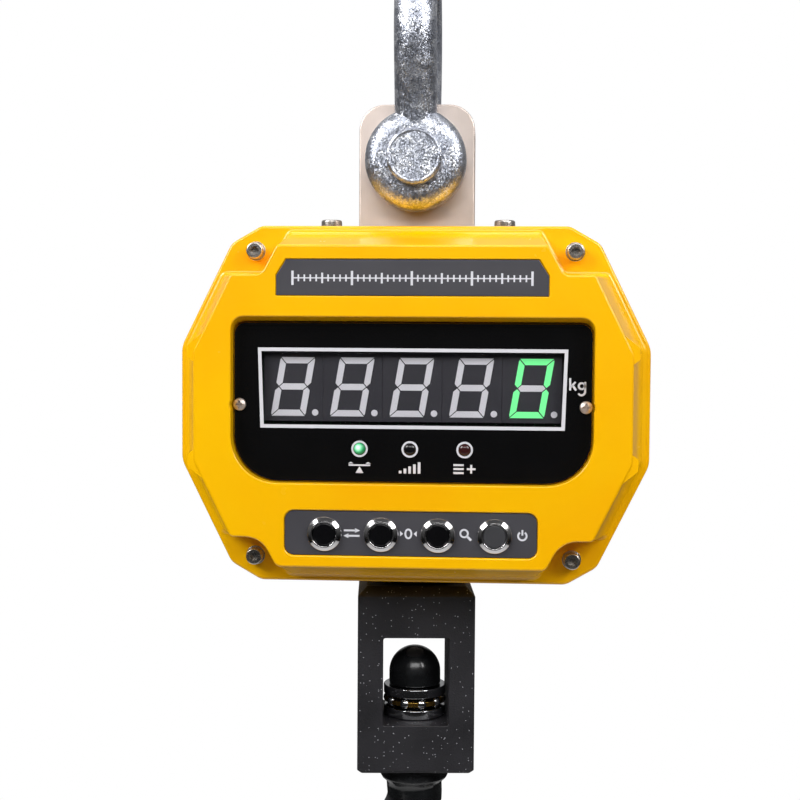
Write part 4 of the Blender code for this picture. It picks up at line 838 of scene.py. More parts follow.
def makePanel():
    y = display["panelY"]

    inset, edge, level = display["inset"], display["panelEdge"], display["panelLevel"]
    rings = []
    for back, _ in reversed(rounding(edge, 3)):
        rings.append([Vector((p.x, y + back, p.z)) for p in windowRing(-inset - back, level)])
    rings.append([Vector((p.x, y + display["panelThick"], p.z)) for p in windowRing(-inset, level)])
    body = loft(rings)
    low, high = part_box("display_filter")
    pane = block(low.x - gap, high.x + gap, y - 0.002, y + 0.005, low.z - caseZ - gap, high.z - caseZ + gap)
    holes = [bar(display["lampHole"], -0.002, 0.01, 36,
                   at(x, y, display["lampH"])) for x in display["lampX"]]
    piece("displayPanel", cut(body, pane, *holes), blackAcrylic, "scale", ["display_panel"], "black_acrylic")
    pane = softBlock(low.x, high.x, low.y, high.y, low.z, high.z, 0.0003, 0.0002, 2)
    piece("displayWindow", pane, smoke, "scale", ["display_filter"], "smoked_acrylic")

    ink = []
    outer, line = display["frame"], display["frameLine"]
    inner = [(x - math.copysign(line, x), z - math.copysign(line, z)) for x, z in outer]
    for k in range(4):
        j = (k + 1) % 4
        ink.append([outer[k], outer[j], inner[j], inner[k]])
    for x in display["lampX"]:
        ink += ringInk(x, display["lampH"], *display["ring"])
    z = display["iconH"]
    x = display["lampX"][0]  # steady: a level beam on its pivot
    ink += [strip([(x - 0.0055, z + 0.0014), (x + 0.0055, z + 0.0014)], 0.0008),
            [(x - 0.0020, z - 0.0026), (x + 0.0020, z - 0.0026), (x, z + 0.0008)],
            [(x - 0.0058, z + 0.0022), (x - 0.0030, z + 0.0022), (x - 0.0044, z + 0.0030)],
            [(x + 0.0030, z + 0.0022), (x + 0.0058, z + 0.0022), (x + 0.0044, z + 0.0030)]]
    x = display["lampX"][1]  # link: bars that grow
    for k in range(5):
        left = x - 0.0055 + 0.0024 * k
        ink.append([(left, z - 0.0026), (left + 0.0014, z - 0.0026), (left + 0.0014, z - 0.0012 + 0.0011 * k),
                    (left, z - 0.0012 + 0.0011 * k)])
    x = display["lampX"][2]  # total: a stack and a plus
    for k in range(3):
        ink.append(strip([(x - 0.0056, z - 0.0020 + 0.0020 * k), (x - 0.0004, z - 0.0020 + 0.0020 * k)], 0.0010))
    ink += [strip([(x + 0.0012, z), (x + 0.0056, z)], 0.0010),
            strip([(x + 0.0034, z - 0.0022), (x + 0.0034, z - 0.0005)], 0.0010),
            strip([(x + 0.0034, z + 0.0005), (x + 0.0034, z + 0.0022)], 0.0010)]
    unit = [strip([(0.0006, 0), (0.0006, 0.0062)], 0.0010), strip([(0.0009, 0.0017), (0.0033, 0.0043)], 0.0010),
            strip([(0.0018, 0.0025), (0.0036, 0)], 0.0011)]
    unit += ringInk(0.0064, 0.0022, 0.0015, 0.0010)  # kg, the unit of weight, drawn as strokes
    unit.append(strip([(0.0081, 0.0044)] + arc(0.0063, -0.0006, 0.0018, 0, -150, 12), 0.0010))
    ink += placed(unit, *display["unit"])
    piece("panelInk", inkShape(ink, y), whiteInk, "scale", sharp=30)


def digitBars():
    # the seven bars of one digit, centred, leaning right: name to outline
    w, h, t, s = display["wide"] / 2, display["tall"] / 2, display["bar"], display["seam"] / 2
    d = s * math.sqrt(2)
    bars = {"top": [(-w + d, h), (w - d, h), (w - t - d, h - t), (-w + t + d, h - t)],
            "middle": [(-w + t / 2 + d, 0), (-w + t + d, t / 2), (w - t - d, t / 2), (w - t / 2 - d, 0),
                       (w - t - d, -t / 2), (-w + t + d, -t / 2)]}
    c = display["clip"]
    side = [(-w, h - d - c), (-w + c * 0.35, h - d - c * 0.35), (-w + t, h - t - d), (-w + t, t / 2 + d),
            (-w + t / 2, d), (-w, t / 2 + d)]
    side = side[:1] + [(-w + 0.00012, h - d - c * 0.6), (-w + c * 0.3, h - d - c * 0.22)] + side[2:]
    bars["upperLeft"] = side
    bars["upperRight"] = [(-x, z) for x, z in side]
    bars["lowerLeft"] = [(x, -z) for x, z in side]
    bars["lowerRight"] = [(-x, -z) for x, z in side]
    bars["bottom"] = [(x, -z) for x, z in bars["top"]]
    lean = display["lean"]
    return {name: [(x + z * lean, z) for x, z in points] for name, points in bars.items()}


def makeDigits():
    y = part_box("digit_1")[0].y
    h = display["digitHeight"]
    bars = digitBars()
    dot = disc(*display["dot"])

    def shapes(names, x, dotted=True):
        outlines = [[(px + x, pz + h) for px, pz in bars[name]] for name in names]
        if dotted:
            outlines.append([(px + x, pz + h) for px, pz in dot])
        return inkShape(outlines, y, 0.00012)

    first, last = -2 * display["pitch"] - 0.0002, 2 * display["pitch"] - 0.0002
    row = copies("unlitBars", shapes(bars, first), copyTree(lensGrey), {"Count": 4, "Step": display["pitch"]})
    rest = bmesh.new()
    rest.from_mesh(row)
    rest = merged(rest, shapes(["middle"], last))
    piece("unlitBars", rest, lensGrey, "scale", slot="grey_plastic", sharp=30)
    lit = shapes([name for name in bars if name != "middle"], last, dotted=False)
    piece("litBars", lit, lensLit, "scale", slot="grey_plastic", sharp=30)
    bodies, seam = [], 0.00014
    for k in range(5):
        low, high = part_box(f"digit_{k + 1}")
        bodies.append(softBlock(low.x - seam, high.x + seam, low.y, high.y, low.z, high.z, 0.00005, 0.00003, 1))
    names = [f"digit_{k + 1}" for k in range(5)]
    piece("digitModules", merged(*bodies), moduleGrey, "scale", names, "grey_plastic")


def makeLamps():
    for k, (x, material, slot) in enumerate(zip(display["lampX"], (lampGreen, lampDark, lampRed),
                                                ("green_lamp", "dark_lamp", "red_lamp"))):
        low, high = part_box(f"lamp_{k + 1}")
        r, tip = display["lampRadius"], low.y - 0.0002
        profile = [(0, tip, 0)]
        for step in range(1, 9):
            t = math.pi / 2 * step / 8
            profile.append((r * math.sin(t), tip + r * 0.6 * (1 - math.cos(t)), 0))
        profile += [(r, high.y - 0.0012, 0), (0.0034, high.y - 0.0012, 0.0002), (0.0034, high.y, 0.0002),
                    (0, high.y, 0)]
        piece(f"lamp{k + 1}", lathe(profile, 36, at(x, 0, display["lampH"])), material, "scale",
              [f"lamp_{k + 1}"], slot)


makePanel()
makeDigits()
makeLamps()
print("display ready")


def plateShape(corners, y0, y1, edge):
    rings = [[at(p.x, y0 + back, p.y) for p in corners(-0.0003 - inward)]
             for back, inward in reversed(rounding(edge, 3))]
    rings.append([at(p.x, y1, p.y) for p in corners(-0.0003)])
    return loft(rings)


ruler = {"marks": {"Count": 41, "Step": 0.0030, "Width": 0.0008, "Height": 0.0034, "Thick": 0.00008},
         "half": 0.0600, "height": 0.0648, "beam": 0.0006}


def makeLabels():
    low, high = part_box("name_plate")
    piece("nameStrip", plateShape(stripCorners, low.y, high.y, 0.0002), labelGrey, "scale", ["name_plate"],
          "grey_label")
    marks = bmesh.new()
    marks.from_mesh(growTree("rulerMarks", tickTree(), ruler["marks"]))
    half, h = ruler["half"], ruler["height"]
    moved(marks, at(-half, low.y, h))
    half += ruler["marks"]["Width"] / 2
    beam = inkShape([strip([(-half, h), (half, h)], ruler["beam"])], low.y, 0.00005)
    piece("rulerMarks", merged(marks, beam), whiteInk, "scale", sharp=30)

    low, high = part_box("key_plate")
    shape = plateShape(plateCorners, low.y, high.y, 0.0002)
    holes = [bar(plate["hole"], -0.002, 0.004, 48,
                   at(x, low.y, keys["height"])) for x in keys["across"]]
    piece("keyPlate", cut(shape, *holes), labelGrey, "scale", ["key_plate"], "grey_label")
    change = [strip([(-0.0034, 0.0011), (0.0016, 0.0011)], 0.0008),
              [(0.0014, 0.0001), (0.0036, 0.0011), (0.0014, 0.0021)],
              strip([(-0.0016, -0.0012), (0.0034, -0.0012)], 0.0008),
              [(-0.0014, -0.0022), (-0.0036, -0.0012), (-0.0014, -0.0002)]]  # two opposite arrows
    zero = [strip([(0.0013 * math.cos(math.tau * k / 24), 0.0019 * math.sin(math.tau * k / 24))
                   for k in range(a, a + 13)], 0.0008) for a in (0, 12)]
    zero += [[(-0.0036, -0.0012), (-0.0022, 0), (-0.0036, 0.0012)],
             [(0.0036, -0.0012), (0.0036, 0.0012), (0.0022, 0)]]
    search = ringInk(-0.0006, 0.0005, 0.0016, 0.0008) + [strip([(0.0007, -0.0008), (0.0024, -0.0024)], 0.0010)]
    power = [strip(arc(0, -0.0002, 0.0018, 125, 415, 30), 0.0008), strip([(0, 0), (0, 0.0024)], 0.0008)]
    ink = []
    for x, icon in zip(keys["across"], (change, zero, search, power)):
        ink += placed(icon, x + keys["iconOffset"], keys["height"] + 0.0006, keys["iconSize"])
    piece("keyInk", inkShape(ink, low.y, 0.00006), whiteInk, "scale", sharp=30)


def makeKeys():
    low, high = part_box("button_body_1")
    top, under = low.y, faceY + 0.0008 - gap
    r, inner = keys["bezel"], keys["mouth"]
    well, barrel = top + keys["well"], keys["barrel"]
    profile = [(0, well, 0), (inner, well, 0), (inner, top, 0.0003), (inner + 0.0007, top, 0.0002),
               (r - 0.0004, top + 0.0014, 0.0005), (r, top + 0.0021, 0.0004), (r, under, 0.0001),
               (barrel, under, 0), (barrel, high.y, 0), (0, high.y, 0)]
    bodies = [lathe(profile, 64, at(x, 0, keys["height"])) for x in keys["across"]]
    piece("keyHousings", merged(*bodies), chrome, "scale", [f"button_body_{k + 1}" for k in range(4)],
          "chrome_plate")
    for k, x in enumerate(keys["across"]):
        low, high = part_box(f"button_cap_{k + 1}")
        r = keys["cap"]
        profile = [(0, low.y + 0.0003, 0), (r - 0.0006, low.y + 0.0002, 0.0008), (r, low.y + 0.0007, 0.0003),
                   (r, high.y, 0.0002), (0, high.y, 0)]
        material = capGrey if k == 3 else capBlack
        piece(f"keyCap{k + 1}", lathe(profile, 56, at(x, 0, keys["height"])), material, f"key_{k + 1}",
              [f"button_cap_{k + 1}"], "black_acrylic")


makeLabels()
makeKeys()
print("keys ready")


screws = {"head": (0.00425, 0.0050), "shaft": 0.0025, "socket": (0.0023, 0.0038), "flare": (0.0026, 0.0021, 0.0003),
          "washerHole": 0.0028, "splitWasher": (0.0043, 0.00065), "flatWasher": (0.0050, 0.0008),
          "topWasher": (0.0062, 0.0012), "topHead": 0.0056, "topShaft": 0.003, "topSocket": (0.0027, 0.0028),
          "panHead": (0.00335, 0.0020), "panShaft": 0.0013, "cross": (0.0021, 0.00045)}


def makeScrews():
    low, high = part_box("case_screw_upper_right")
    centre = (low + high) / 2
    wLow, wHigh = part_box("screw_washer_upper_right")
    (r, tall), shaft = screws["head"], screws["shaft"]
    top, head = low.y, low.y + tall
    profile = [(0, top, 0), (r, top, 0.0007), (r, head, 0.0003), (shaft, head, 0), (shaft, high.y, 0),
               (0, high.y, 0)]
    origin = Vector((0, 0, 0))
    socket, deep = screws["socket"]
    hexagon = bar(socket, top - 0.001, top + deep, 6, origin)
    mouth, throat, deep = screws["flare"]
    flare = lathe([(0, top - 0.001, 0), (mouth, top - 0.001, 0), (throat, top + deep, 0), (0, top + deep, 0)], 40,
                  origin)
    screw = cut(lathe(profile, 48, origin), hexagon, flare)
    hole, (r, thick) = screws["washerHole"], screws["splitWasher"]
    split = [(hole, wLow.y, 0), (r, wLow.y, 0.0002), (r, wLow.y + thick, 0.0002), (hole, wLow.y + thick, 0)]
    r, under = screws["flatWasher"]
    flat = [(hole, wLow.y + under, 0), (r, wLow.y + under, 0.0002), (r, wHigh.y, 0.0002), (hole, wHigh.y, 0)]
    washers = merged(lathe(split, 40, origin), lathe(flat, 40, origin))
    spread = {"Width": 2 * centre.x, "Height": 2 * (centre.z - caseZ)}
    for name, shape, node in (("caseScrews", screw, "case_screw"), ("screwWashers", washers, "screw_washer")):
        mesh = copies(name, shape, cornerTree(stainless), spread)
        mesh.transform(Matrix.Translation((0, 0, caseZ)))
        nodes = [f"{node}_{level}_{side}" for level in ("upper", "lower") for side in ("left", "right")]
        piece(name, mesh, stainless, "scale", nodes, "stainless_steel")

    bolts = []
    low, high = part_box("top_bolt_left")
    seat = caseZ + 0.0928 + gap
    for side in (-1, 1):
        x = side * -(low.x + high.x) / 2
        (w, thick), r, shaft = screws["topWasher"], screws["topHead"], screws["topShaft"]
        profile = [(0, low.z, 0), (shaft, low.z, 0), (shaft, seat, 0), (w, seat, 0.0002),
                   (w, seat + thick, 0.0003), (r - 0.001, seat + 0.0013, 0), (r - 0.001, seat + 0.0015, 0),
                   (r, seat + 0.0015, 0.0002), (r, high.z, 0.0011), (0, high.z, 0)]
        bolt = lathe(profile, 48, (x, 0, 0), "Z")
        socket, deep = screws["topSocket"]
        socket = bar(socket, high.z - deep, high.z + 0.001, 6, (x, 0, 0), "Z")
        bolts.append(cut(bolt, socket))
    piece("topBolts", merged(*bolts), stainless, "scale", ["top_bolt_left", "top_bolt_right"], "stainless_steel")

    heads = []
    under = display["panelY"] - gap
    for name in ("left", "right"):
        low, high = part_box(f"panel_screw_{name}")
        x, h = (low.x + high.x) / 2, (low.z + high.z) / 2 - caseZ
        (r, tall), shaft = screws["panHead"], screws["panShaft"]
        profile = [(0, under - tall, 0), (0.0016, under - tall, 0.0008), (0.0030, under - 0.0012, 0.0006),
                   (r, under, 0.0002), (shaft, under, 0), (shaft, high.y, 0), (0, high.y, 0)]
        crosses = [block(x - a, x + a, under - 0.004, under - 0.0005, h - b, h + b)
                   for a, b in (screws["cross"], screws["cross"][::-1])]
        heads.append(cut(lathe(profile, 40, at(x, 0, h)), *crosses))
    piece("panelScrews", merged(*heads), nickel, "scale", ["panel_screw_left", "panel_screw_right"],
          "stainless_steel")


makeScrews()
print("screws ready")


cell = {"half": 0.0305, "thick": 0.016, "low": -0.066, "corner": 0.0135, "edge": 0.0009, "stud": 0.015,
        "studLength": 0.055, "eye": 0.0136, "eyeMouth": 0.0148, "gauge": 0.014, "gaugeLid": 0.0165,
        "waist": (0.0245, 0.018), "bottomSeal": (0.0153, 0.0187, 0.0027)}


def makeLoadCell():
    w, t, low, corner = cell["half"], cell["thick"], cell["low"], cell["corner"]
    top, shoulder = pinZ - caseZ, w - corner

    def ring(y, grow):
        points = [(w + grow, low - grow)]
        for turn, start in ((1, 0), (-1, 1)):
            for k in range(13):
                a = math.pi / 2 * (start + k / 12)
                points.append((turn * shoulder + (corner + grow) * math.cos(a),
                               top + shoulder + (corner + grow) * math.sin(a)))
        points.append((-w - grow, low - grow))
        return [at(x, y, z) for x, z in points]

    edge = cell["edge"]
    rings = [ring(-t + back, -inward) for back, inward in reversed(rounding(edge, 3))]
    rings += [ring(t - back, -inward) for back, inward in rounding(edge, 3)]
    plate = loft(rings)
    r, end = cell["stud"], low - cell["studLength"]
    stud = [(0, end, 0), (r, end, 0.0015), (r, low + 0.006, 0), (0, low + 0.006, 0)]
    plate = join(plate, lathe(stud, 56, at(0, 0, 0), "Z"))
    r, mouth, depth = cell["eye"], cell["eyeMouth"], t - 0.0012
    eye = lathe([(0, -0.03, 0), (mouth, -0.03, 0), (mouth, -t, 0), (r, -depth, 0), (r, depth, 0), (mouth, t, 0),
                 (mouth, 0.03, 0), (0, 0.03, 0)], 56, (0, 0, pinZ))
    r, lid, step = cell["gauge"], cell["gaugeLid"], -t + 0.0016
    well = lathe([(0, -0.03, 0), (lid, -0.03, 0), (lid, step, 0), (r, step, 0), (r, -0.008, 0), (0, -0.008, 0)], 48,
                 at(0, 0, 0))
    across, up = cell["waist"]
    waists = [block(side * across, side * 0.040, -0.03, 0.03, -up, up) for side in (-1, 1)]
    piece("loadCell", cut(plate, eye, well, *waists), nickel, "scale", ["load_cell"], "nickel_plated_steel")
    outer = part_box("top_seal")
    collar = softBlock(outer[0].x, outer[1].x, outer[0].y, outer[1].y, outer[0].z, outer[1].z, 0.003, 0.0008)
    slot = block(-w - gap, w + gap, -t - gap, t + gap, 0.08, 0.1)
    piece("topSeal", cut(collar, slot), rubber, "scale", ["top_seal"], "black_rubber")
    low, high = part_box("bottom_seal")
    inside, outside, longer = cell["bottomSeal"]
    end = low.z - longer
    ring = [(inside, end, 0.0003), (outside, end, 0.001), (outside, high.z, 0.0003), (inside, high.z, 0.0003)]
    piece("bottomSeal", lathe(ring, 56, (0, 0, 0), "Z"), rubber, "scale", ["bottom_seal"], "black_rubber")


shackle = {"rod": 0.011, "inside": 0.029, "jaw": 0.01825, "ear": 0.0263, "earThick": 0.020, "spread": -14,
           "round": 0.0085, "bore": 0.0133, "pin": 0.0130, "head": 0.0142, "collar": 0.0170, "collarThick": 0.006,
           "eye": (0.016, 0.006, 0.014), "eyeHole": (0.0095, 0.0070)}


def makeShackle():
    rod, inside = shackle["rod"], shackle["inside"]
    bend = inside + rod
    foot = Vector((0, shackle["jaw"] + shackle["earThick"] / 2, pinZ))
    spread = math.radians(shackle["spread"])
    meet = Vector((0, bend * math.cos(spread), -inside + bend * math.sin(spread)))
    lean = Vector((0, -math.sin(spread), math.cos(spread)))
    leg = []
    for k in range(20):
        t = k / 20
        a, b, c, d = (1 - t) ** 3, 3 * t * (1 - t) ** 2, 3 * t * t * (1 - t), t ** 3
        leg.append(foot * a + (foot + Vector((0, -0.0008, 0.028))) * b + (meet - lean * 0.02) * c + meet * d)
    crown = []
    for k in range(49):
        angle = spread + (math.pi - 2 * spread) * k / 48
        crown.append(Vector((0, bend * math.cos(angle), -inside + bend * math.sin(angle))))
    line = leg + crown + [Vector((0, -p.y, p.z)) for p in reversed(leg)]
    rings = []
    for i, point in enumerate(line):
        ahead = line[min(i + 1, len(line) - 1)] - line[max(i - 1, 0)]
        up = ahead.cross(Vector((1, 0, 0))).normalized()
        near = min(i, len(line) - 1 - i)
        flat = min(1.0, 0.80 + 0.012 * near)
        rings.append([point + (Vector((1, 0, 0)) * math.cos(t) + up * math.sin(t) * flat) * rod
                      for t in (math.tau * k / 32 for k in range(32))])
    near, far, ear, r = shackle["jaw"], shackle["jaw"] + shackle["earThick"], shackle["ear"], shackle["round"]
    shape = [(0, near, 0), (ear, near, 0.0022), (ear, far, r), (0.0175, far, 0.003), (0, far - 0.0006, 0)]
    ears = [lathe(shape, 72, (0, 0, pinZ), bevelSteps=8),
            lathe([(x, -y, c) for x, y, c in shape], 72, (0, 0, pinZ), bevelSteps=8)]
    bow = join(loft(rings), *ears)
    bore = bar(shackle["bore"], -0.06, 0.06, 64, (0, 0, pinZ))
    piece("shackleBow", cut(bow, bore), galvanised, "shackle", ["shackle_bow"], "galvanised_steel", sharp=50)

    low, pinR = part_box("shackle_pin")[0], shackle["pin"]
    collar = far + gap
    tail, flange = collar + shackle["collarThick"], shackle["collar"]
    head, seat = shackle["head"], -far - gap
    profile = [(0, low.y + 0.0002, 0), (head - 0.0022, low.y + 0.0003, 0.0006), (head - 0.0012, low.y, 0.0006),
               (head, low.y + 0.0009, 0.0008), (head, seat, 0.0002), (pinR, seat, 0), (pinR, collar, 0),
               (flange, collar, 0.001), (flange, tail, 0.0022), (0, tail, 0)]
    shaft = lathe(profile, 64, (0, 0, pinZ), bevelSteps=6)
    r, half, offset = shackle["eye"]
    centre = (0, tail + offset, pinZ)
    eye = lathe([(0, -half, 0), (r, -half, 0.004), (r, half, 0.004), (0, half, 0)], 56, centre, "X", 6)
    mouth, r = shackle["eyeHole"]
    hole = lathe([(0, -0.01, 0), (mouth, -0.01, 0), (r, -0.0045, 0.004), (r, 0.0045, 0.004), (mouth, 0.01, 0),
                  (0, 0.01, 0)], 48, centre, "X", 5)
    pin = cut(join(shaft, eye), hole)
    piece("shacklePin", pin, galvanised, "shackle", ["shackle_pin"], "galvanised_steel", sharp=50)


makeLoadCell()
makeShackle()
print("shackle and load cell ready")


hookBlock = {"yaw": math.radians(4.5), "half": (0.0311, 0.026), "chamfer": 0.0048, "bay": 0.0175,
             "top": -0.097, "low": -0.197, "bayTop": -0.124, "bayLow": -0.171, "corner": 0.0013, "lip": 0.0005,
             "studHole": 0.0153, "shankHole": 0.0156, "crossDrop": 0.0135, "crossHole": 0.0043,
             "cross": (0.0040, 0.0285)}


def makeBlock():
    top, low = caseZ + hookBlock["top"], caseZ + hookBlock["low"]
    bay, bayTop, bayLow = hookBlock["bay"], hookBlock["bayTop"], hookBlock["bayLow"]
    w, d = hookBlock["half"]
    chamfer = hookBlock["chamfer"]

    def ring(z, grow):
        corner = hookBlock["corner"]
        corners = [(w + grow, -d - grow, corner), (w + grow, d + grow, corner), (-w - grow, d + grow, corner),
                   (-w - grow, -d - grow, corner)]
        return [Vector((p.x, p.y, z)) for p in arcPath(corners, 4)]

    profile = arcPath([(-0.004, low, 0), (-0.002, low, 0.0006), (0, low + 0.002, 0.0010), (0, top - chamfer, 0.0008),
                       (-chamfer, top, 0.0008), (-chamfer - 0.003, top, 0)], 3, closed=False)
    body = loft([ring(p.y, p.x) for p in profile])
    corners = [(bay, bayLow, 0.0012), (bay, bayTop, 0.0012), (-bay, bayTop, 0.0012), (-bay, bayLow, 0.0012)]

    def bayRing(y, grow):
        grown = [(x + math.copysign(grow, x), z + (grow if z > -0.15 else -grow), r + grow) for x, z, r in corners]
        return [at(p.x, y, p.y) for p in arcPath(grown, 5)]

    lip = hookBlock["lip"]
    rings = [bayRing(-d - 0.001, lip)]
    rings += [bayRing(-d + inward, back) for back, inward in rounding(lip, 3)]
    rings += [bayRing(d - back, inward) for back, inward in rounding(lip, 3)]
    rings.append(bayRing(d + 0.001, lip))
    stud = bar(hookBlock["studHole"], -0.13, -0.09, 56, at(0, 0, 0), "Z")
    shank = bar(hookBlock["shankHole"], -0.21, -0.16, 56, at(0, 0, 0), "Z")
    crossZ = hookBlock["top"] - hookBlock["crossDrop"]
    cross = bar(hookBlock["crossHole"], -0.04, 0.04, 32, at(0, 0, crossZ), "X")
    body = cut(body, loft(rings), stud, shank, cross)
    piece("hookBlock", spun(body, hookBlock["yaw"]), powderBlack, "scale", ["hook_block"], "black_powder_coat")
    r, half = hookBlock["cross"]
    pin = lathe([(0, -half, 0), (r, -half, 0.0008), (r, half, 0.0008), (0, half, 0)], 32, at(0, 0, crossZ), "X")
    piece("studPin", spun(pin, hookBlock["yaw"]), stainless, "scale", ["stud_pin"], "stainless_steel")


bearing = {"nut": 0.014, "nutTop": -0.1335, "nutCap": 0.0077, "thread": 0.0113, "race": (0.0115, 0.0170),
           "cage": (0.0124, 0.0162, 0.0012), "balls": {"Count": 10, "Pitch": 0.0143, "Radius": 0.0029}}


def makeBearing():
    low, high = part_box("hook_nut")
    r, crown, thread = bearing["nut"], caseZ + bearing["nutTop"], bearing["thread"]
    roof = crown - bearing["nutCap"]
    profile = [(0, roof, 0), (thread, roof, 0), (thread, low.z, 0), (r, low.z, 0.0008)]
    profile += [(r * math.cos(math.radians(a)), crown - r + r * math.sin(math.radians(a)), 0)
                for a in range(0, 90, 5)]
    profile.append((0, crown - r + r * math.sin(math.radians(85)), 0))
    piece("hookNut", lathe(profile, 64, (0, 0, 0), "Z"), forged, "hook", ["hook_nut"], "black_enamel")
    for name, node, body in (("upperRace", "bearing_upper_race", "hook"),
                             ("lowerRace", "bearing_lower_race", "scale")):
        low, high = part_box(node)
        inside, outside = bearing["race"]
        ring = [(inside, low.z, 0.0004), (outside, low.z, 0.0006), (outside, high.z, 0.0006),
                (inside, high.z, 0.0004)]
        piece(name, lathe(ring, 64, (0, 0, 0), "Z"), bearingSteel, body, [node], "bearing_steel")
    low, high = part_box("bearing_cage")
    mid = (low.z + high.z) / 2
    inside, outside, half = bearing["cage"]
    ring = lathe([(inside, mid - half, 0.0003), (outside, mid - half, 0.0003), (outside, mid + half, 0.0003),
                  (inside, mid + half, 0.0003)], 64, (0, 0, 0), "Z")
    piece("bearingCage", ring, brass, "cage", ["bearing_cage"], "brass")
    balls = growTree("bearingBalls", ballTree(), bearing["balls"])
    balls.transform(Matrix.Translation((0, 0, mid)))
    piece("bearingBalls", balls, bearingSteel, "cage", slot="bearing_steel", weighted=False)


hook = {"bowl": 0.025, "halves": ((146, 0.0172), (165, 0.0180), (184, 0.0186), (203, 0.0194), (222, 0.0204),
                                  (241, 0.0211), (260, 0.0214), (279, 0.0213), (298, 0.0206), (317, 0.0192),
                                  (335, 0.0168), (352, 0.0142), (367, 0.0114)), "width": 0.0148}


def hookSections():
    # (place, half depth, half width) from the thread to the tip
    thread, bayLow, blockLow = -0.1415, -0.171, -0.197
    up = caseZ - bowlZ
    shank = [(thread, 0.0100), (thread - 0.0010, 0.0110), (bayLow - 0.0005, 0.0110), (bayLow - 0.0006, 0.0150),
             (blockLow - 0.0019, 0.0150), (blockLow - 0.0021, 0.0180), (blockLow - 0.0026, 0.0185),
             (blockLow - 0.0074, 0.0185), (blockLow - 0.0086, 0.0178), (blockLow - 0.0110, 0.0152)]
    sections = [(Vector((0, h + up)), r, r) for h, r in shank]
    sections += [(Vector((0, 0.074)), 0.0150, 0.0148), (Vector((-0.0045, 0.0625)), 0.0155, 0.0148),
                 (Vector((-0.0140, 0.0510)), 0.0160, 0.0148), (Vector((-0.0245, 0.0400)), 0.0165, 0.0148)]
    for angle, half in hook["halves"]:
        turn = math.radians(angle)
        width = hook["width"] * min(1.0, 0.42 + half / 0.0300)
        reach = hook["bowl"] + half
        sections.append((Vector((reach * math.cos(turn), reach * math.sin(turn))), half, width))
    sections += [(Vector((0.0372, 0.0135)), 0.0088, 0.0092), (Vector((0.0392, 0.0215)), 0.0060, 0.0074),
                 (Vector((0.0408, 0.0258)), 0.0040, 0.0052), (Vector((0.0414, 0.0276)), 0.0018, 0.0024)]
    return sections


def makeHook():
    sections = hookSections()
    straight = 10
    bent = sections[straight - 1:]
    tracks = [Vector((p.x, p.y, half)) for p, half, width in bent]
    widths = [Vector((width, 0, 0)) for p, half, width in bent]
    fine = []
    a, b = [[rows[0] * 2 - rows[1]] + rows + [rows[-1] * 2 - rows[-2]] for rows in (tracks, widths)]
    for i in range(1, len(a) - 2):
        for k in range(5):
            t = k / 5

            def blend(rows):
                p, q, r, s = rows[i - 1:i + 3]
                square, cube = 2 * p - 5 * q + 4 * r - s, 3 * q - p - 3 * r + s
                return 0.5 * (2 * q + (r - p) * t + square * t * t + cube * t ** 3)

            v, w = blend(a), blend(b)
            fine.append((Vector((v.x, v.y)), v.z, w.x))
    fine.append(bent[-1])
    whole = sections[:straight - 1] + fine
    rings = []
    for i, (place, half, width) in enumerate(whole):
        if i < straight:
            ahead = Vector((0, -1))
        else:
            ahead = (whole[min(i + 1, len(whole) - 1)][0] - whole[i - 1][0]).normalized()
        inward = Vector((-ahead.y, ahead.x))
        swell = min(1.0, max(0.0, (i - straight) / 12))
        ring = []
        for k in range(36):
            t = math.tau * k / 36
            across = place + inward * half * math.cos(t)
            side = width * (1 + 0.16 * swell * math.cos(t)) * math.sin(t)
            ring.append(Vector((across.x, side, bowlZ + across.y)))
        rings.append(ring)
    body = loft(rings)
    x, h = latchPivot.x, latchPivot.z - caseZ
    lug = slab(arcPath([(x + 0.0045, h - 0.0045, 0.004), (x + 0.0045, h + 0.0045, 0.004), (0.004, h + 0.010, 0),
                        (0.004, h - 0.008, 0)], 8), -0.0028, 0.0028)
    body = join(body, lug)
    bore = bar(0.0022, -0.01, 0.01, 24, latchPivot)
    piece("hookForging", cut(body, bore), forged, "hook", ["hook"], "black_enamel", sharp=46)


latch = {"length": 0.041, "lean": math.radians(12.5), "cheek": (0.0062, 0.0076), "arm": (0.0064, 0.0071),
         "ear": 0.0048, "hole": 0.0022, "pinHalf": 0.0092, "pinHead": 0.0030, "pinShaft": 0.0019, "coilTurns": 2.25,
         "coil": 0.0030, "wire": 0.00042}


